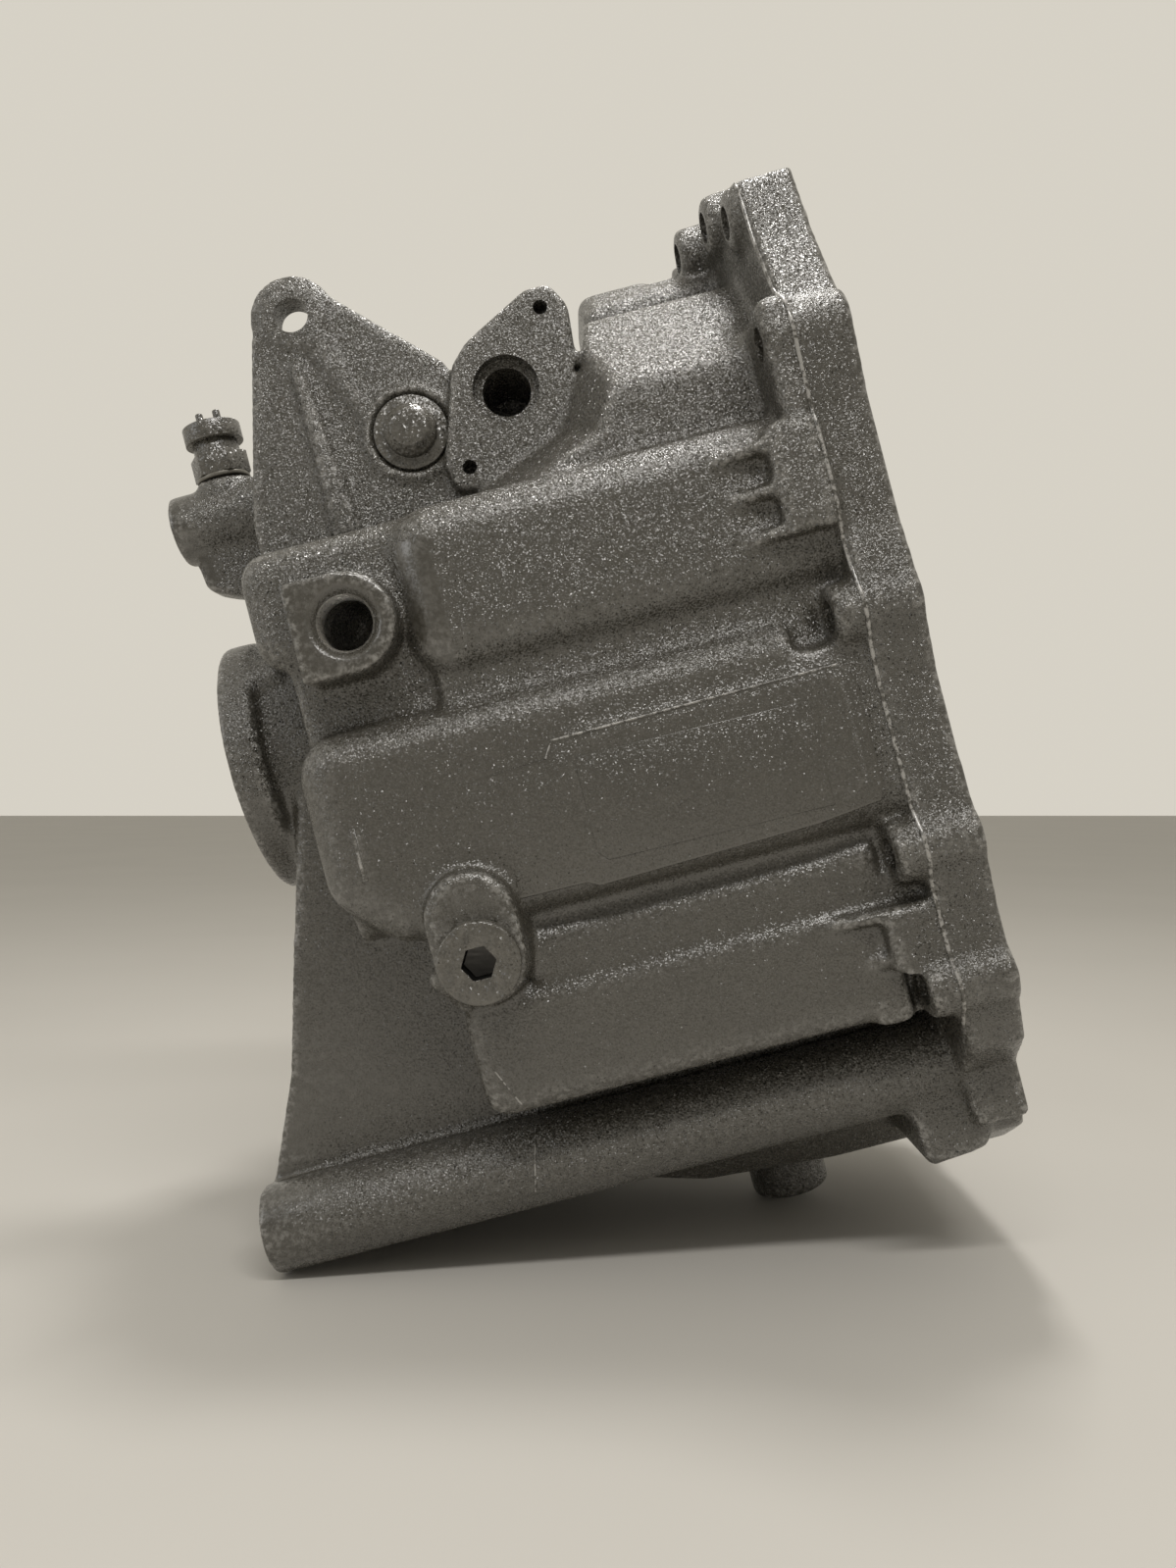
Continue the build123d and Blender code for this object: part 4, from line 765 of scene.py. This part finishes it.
class GEARBOX_OT_relief(bpy.types.Operator):
    """Adds the raised marks of the near side: the panel, its inner field, the bar and the thin beads"""

    bl_idname = "gearbox.relief"
    bl_label = "Raised panel and marks"

    def execute(self, context):
        work = bmesh.new()
        panel_y = BULGE_FACE_Y - PANEL_RISE
        plateau(work, PANEL, panel_y, thick=3.0, edge=0.9, sunk_before_x=-60)
        plateau(work, PANEL_FIELD, panel_y - FIELD_RISE, thick=2.0, edge=0.35)
        plateau(work, BAR_MARK, BULGE_FACE_Y - BAR_RISE, thick=3.0, edge=0.4)
        bmesh.ops.recalc_face_normals(work, faces=work.faces)
        bmesh.ops.triangulate(work, faces=[face for face in work.faces if len(face.verts) > 4])
        casting = bpy.data.objects["casting"].data
        faces = [face.vertices for face in casting.polygons]
        tree = BVHTree.FromPolygons([vert.co for vert in casting.vertices], faces)
        plate_points = len(work.verts)
        for line, radius in BEADS:
            mesh = bead(laid_on(tree, line), radius)
            mesh.transform(TO_CASE)
            work.from_mesh(mesh)
        mesh = mesh_from(work, "relief")
        grain = [FLAT_GRAIN if abs(face.normal.y) > 0.99 else EDGE_GRAIN for face in mesh.polygons]
        mesh.attributes.new("grain", "FLOAT", "FACE").data.foreach_set("value", grain)
        # The beads' wear is partly real wear and partly a painted highlight along the thin lines
        store_on_points(mesh, "wear", (np.arange(len(mesh.vertices)) >= plate_points) * BEAD_WEAR_AND_HIGHLIGHT)
        mesh.transform(TO_ROW)
        shade(mesh, CASTING_CRISP)
        settle(put_in_scene("relief_marks", mesh), "case", "cast_paint", "sprayed_casting")
        return {"FINISHED"}


class GEARBOX_OT_bore_thread(bpy.types.Operator):
    """Adds the bare thread of the speedometer bore, just inside its rim"""

    bl_idname = "gearbox.bore_thread"
    bl_label = "Thread of the speedometer bore"

    def execute(self, context):
        pitch = context.scene.hardware_settings.thread_pitch / MM
        profile = []
        for turn in range(round(THREAD_LENGTH / pitch)):
            back = THREAD_START_Y + turn * pitch
            profile += [(back, THREAD_ROOT_R), (back + pitch / 2, THREAD_CREST_R)]
        profile += [(profile[-1][0], THREAD_BACK_R), (THREAD_START_Y, THREAD_BACK_R)]
        angles = [2 * pi * k / THREAD_SIDES for k in range(THREAD_SIDES)]
        work = bmesh.new()
        rings = [
            [work.verts.new(Vector((BORE_X + r * cos(a), y, BORE_Z + r * sin(a))) * MM) for a in angles]
            for y, r in profile
        ]
        for ring, after in zip(rings, rings[1:] + rings[:1]):
            for k in range(THREAD_SIDES):
                j = (k + 1) % THREAD_SIDES
                work.faces.new((ring[k], ring[j], after[j], after[k]))
        bmesh.ops.recalc_face_normals(work, faces=work.faces)
        mesh = mesh_from(work, "bore_thread")
        mesh.transform(TO_ROW)
        shade(mesh, THREAD_CRISP)
        settle(put_in_scene("bore_thread", mesh), "case", "steel", "bare_steel")
        return {"FINISHED"}


def paint_socket_shade(plug):
    """Paints shade into the hexagon socket of the fill plug: its faces take the dark blackened steel finish.
    """
    plug.data.materials.append(finishes()["blackened_steel"])
    points = points_of(plug.data)
    front = points[:, 1].min()
    middle = (points.min(0) + points.max(0)) / 2
    for face in plug.data.polygons:
        off_axis = Vector((face.center.x - middle[0], face.center.z - middle[2])).length
        behind = face.center.y > front + SOCKET_RIM * MM
        face.material_index = int(off_axis < SOCKET_REACH * MM and behind)


def press_together(spring):
    """Gives the detent spring a mesh of its own."""
    points = points_of(spring.data)
    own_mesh(spring)


class GEARBOX_OT_hardware(bpy.types.Operator):
    """Breaks the edges of the turned and milled pieces and gives them their finishes"""

    bl_idname = "gearbox.hardware"
    bl_label = "Plugs, switch, bearing and shafts"

    def execute(self, context):
        width = context.scene.hardware_settings.edge
        for node, (body, slot, finish) in MACHINED.items():
            made = put_in_scene(node + "_piece", broken_edges(node, width))
            settle(made, body, slot, finish, node)
        # The fill plug's socket gets painted shade
        paint_socket_shade(bpy.data.objects["fill_plug_piece"])
        press_together(bpy.data.objects["detent_spring_piece"])
        return {"FINISHED"}


# The stage

FLOOR_REACH = 6.0
FLOOR_DROP = 0.0002
LAMP_AIM = (0.0, 0.0, 0.2)
WARM_LIGHT = (1.0, 0.975, 0.94)
COOL_LIGHT = (0.95, 0.97, 1.0)
# Soft lamps by name: place, width and depth in metres, power in watts and colour
LAMPS = {
    "overhead_lamp": ((0.05, 0.08, 1.15), 0.17, 0.17, 4.2, WARM_LIGHT),
    "front_lamp": ((0.1, -0.85, 1.2), 1.0, 0.12, 8.0, WARM_LIGHT),
    "side_lamp": ((-1.2, -0.6, 0.6), 0.6, 0.6, 1.5, COOL_LIGHT),
}


def lamp(name, where, width, depth, power, colour):
    data = bpy.data.lights.new(name, "AREA")
    data.shape = "RECTANGLE"
    data.size = width
    data.size_y = depth
    data.energy = power
    data.color = colour
    made = bpy.data.objects.new(name, data)
    made.location = where
    made.rotation_euler = (Vector(LAMP_AIM) - Vector(where)).to_track_quat("-Z", "Y").to_euler()
    bpy.context.scene.collection.objects.link(made)


def room(settings):
    """World of a light room: the wall that the camera sees, and softer light from all sides.

    The ceiling gives more light than the floor, and surfaces reflect a wall that is brighter behind the part.
    """
    world = bpy.data.worlds.new("room")
    world.use_nodes = True
    tree = world.node_tree
    surface = tree.nodes["Background"]
    surface.inputs["Color"].default_value = (*settings.wall, 1)

    def node(kind, *sources, **values):
        made = tree.nodes.new(kind)
        for key, value in values.items():
            made.inputs[key.replace("_", " ")].default_value = value
        for number, source in enumerate(sources):
            tree.links.new(source, made.inputs[number])
        return made

    def choose(factor, off, on):
        """Number off turned into on by a factor; sockets 2 and 3 are the node's two numbers."""
        made = tree.nodes.new("ShaderNodeMix")
        made.data_type = "FLOAT"
        for number, value in ((0, factor), (2, off), (3, on)):
            if isinstance(value, bpy.types.NodeSocket):
                tree.links.new(value, made.inputs[number])
            else:
                made.inputs[number].default_value = value
        return made.outputs[0]

    path = node("ShaderNodeLightPath").outputs
    seen = node("ShaderNodeMath", path["Is Camera Ray"], path["Is Transmission Ray"])
    seen.operation = "MAXIMUM"
    way = node("ShaderNodeSeparateXYZ", node("ShaderNodeTexCoord").outputs["Generated"])
    ceiling = node(
        "ShaderNodeMapRange", way.outputs["Z"], From_Min=0.1, From_Max=0.9, To_Min=0.2, To_Max=0.85
    )
    walls = node(
        "ShaderNodeMapRange", way.outputs["Y"], From_Min=-0.9, From_Max=0.4, To_Min=0.35, To_Max=1.0
    )
    lit = choose(path["Is Glossy Ray"], ceiling.outputs[0], walls.outputs[0])
    tree.links.new(choose(seen.outputs[0], lit, 1.0), surface.inputs["Strength"])
    return world


class GEARBOX_OT_stage(bpy.types.Operator):
    """Makes the pale floor, the soft lamps, the world and the level camera"""

    bl_idname = "gearbox.stage"
    bl_label = "Stage"

    def execute(self, context):
        settings = context.scene.stage_settings
        work = bmesh.new()
        bmesh.ops.create_grid(work, x_segments=8, y_segments=8, size=FLOOR_REACH)
        floor = put_in_scene("floor", mesh_from(work, "floor"))
        floor.location.z = -FLOOR_DROP
        floor.data.materials.append(floor_finish(settings))
        for name, values in LAMPS.items():
            lamp(name, *values)
        context.scene.world = room(settings)
        camera = bpy.data.cameras.new("camera")
        camera.lens = settings.lens
        camera.sensor_width = 36.0
        camera.clip_start = 0.01
        made = bpy.data.objects.new("camera", camera)
        made.location = (CASE_SHIFT.x, -settings.camera_distance, settings.camera_height)
        made.rotation_euler = (pi / 2, 0, 0)
        context.scene.collection.objects.link(made)
        context.scene.camera = made
        context.scene.view_settings.view_transform = "Standard"
        return {"FINISHED"}


# Panel and run


class GEARBOX_PT_panel(bpy.types.Panel):
    """Sizes, colours and steps of the gearbox housing"""

    bl_idname = "GEARBOX_PT_panel"
    bl_label = "Gearbox Housing"
    bl_space_type = "VIEW_3D"
    bl_region_type = "UI"
    bl_category = "Gearbox"

    def draw(self, context):
        scene = context.scene
        for group in (scene.casting_settings, scene.hardware_settings, scene.stage_settings):
            box = self.layout.box()
            for name in type(group).__annotations__:
                box.prop(group, name)
        for operator in OPERATORS:
            self.layout.operator(operator.bl_idname)


SETTINGS = {
    "casting_settings": CastingSettings,
    "hardware_settings": HardwareSettings,
    "stage_settings": StageSettings,
}
OPERATORS = (
    GEARBOX_OT_casting, GEARBOX_OT_relief, GEARBOX_OT_bore_thread, GEARBOX_OT_hardware, GEARBOX_OT_stage,
)


def register():
    for name, group in SETTINGS.items():
        bpy.utils.register_class(group)
        setattr(bpy.types.Scene, name, PointerProperty(type=group))
    for made in (*OPERATORS, GEARBOX_PT_panel):
        bpy.utils.register_class(made)


def unregister():
    for made in reversed((*OPERATORS, GEARBOX_PT_panel)):
        bpy.utils.unregister_class(made)
    for name, group in reversed(SETTINGS.items()):
        delattr(bpy.types.Scene, name)
        bpy.utils.unregister_class(group)


def main():
    register()
    bpy.ops.gearbox.casting()
    bpy.ops.gearbox.relief()
    bpy.ops.gearbox.bore_thread()
    bpy.ops.gearbox.hardware()
    bpy.ops.gearbox.stage()


if __name__ == "__main__":
    main()
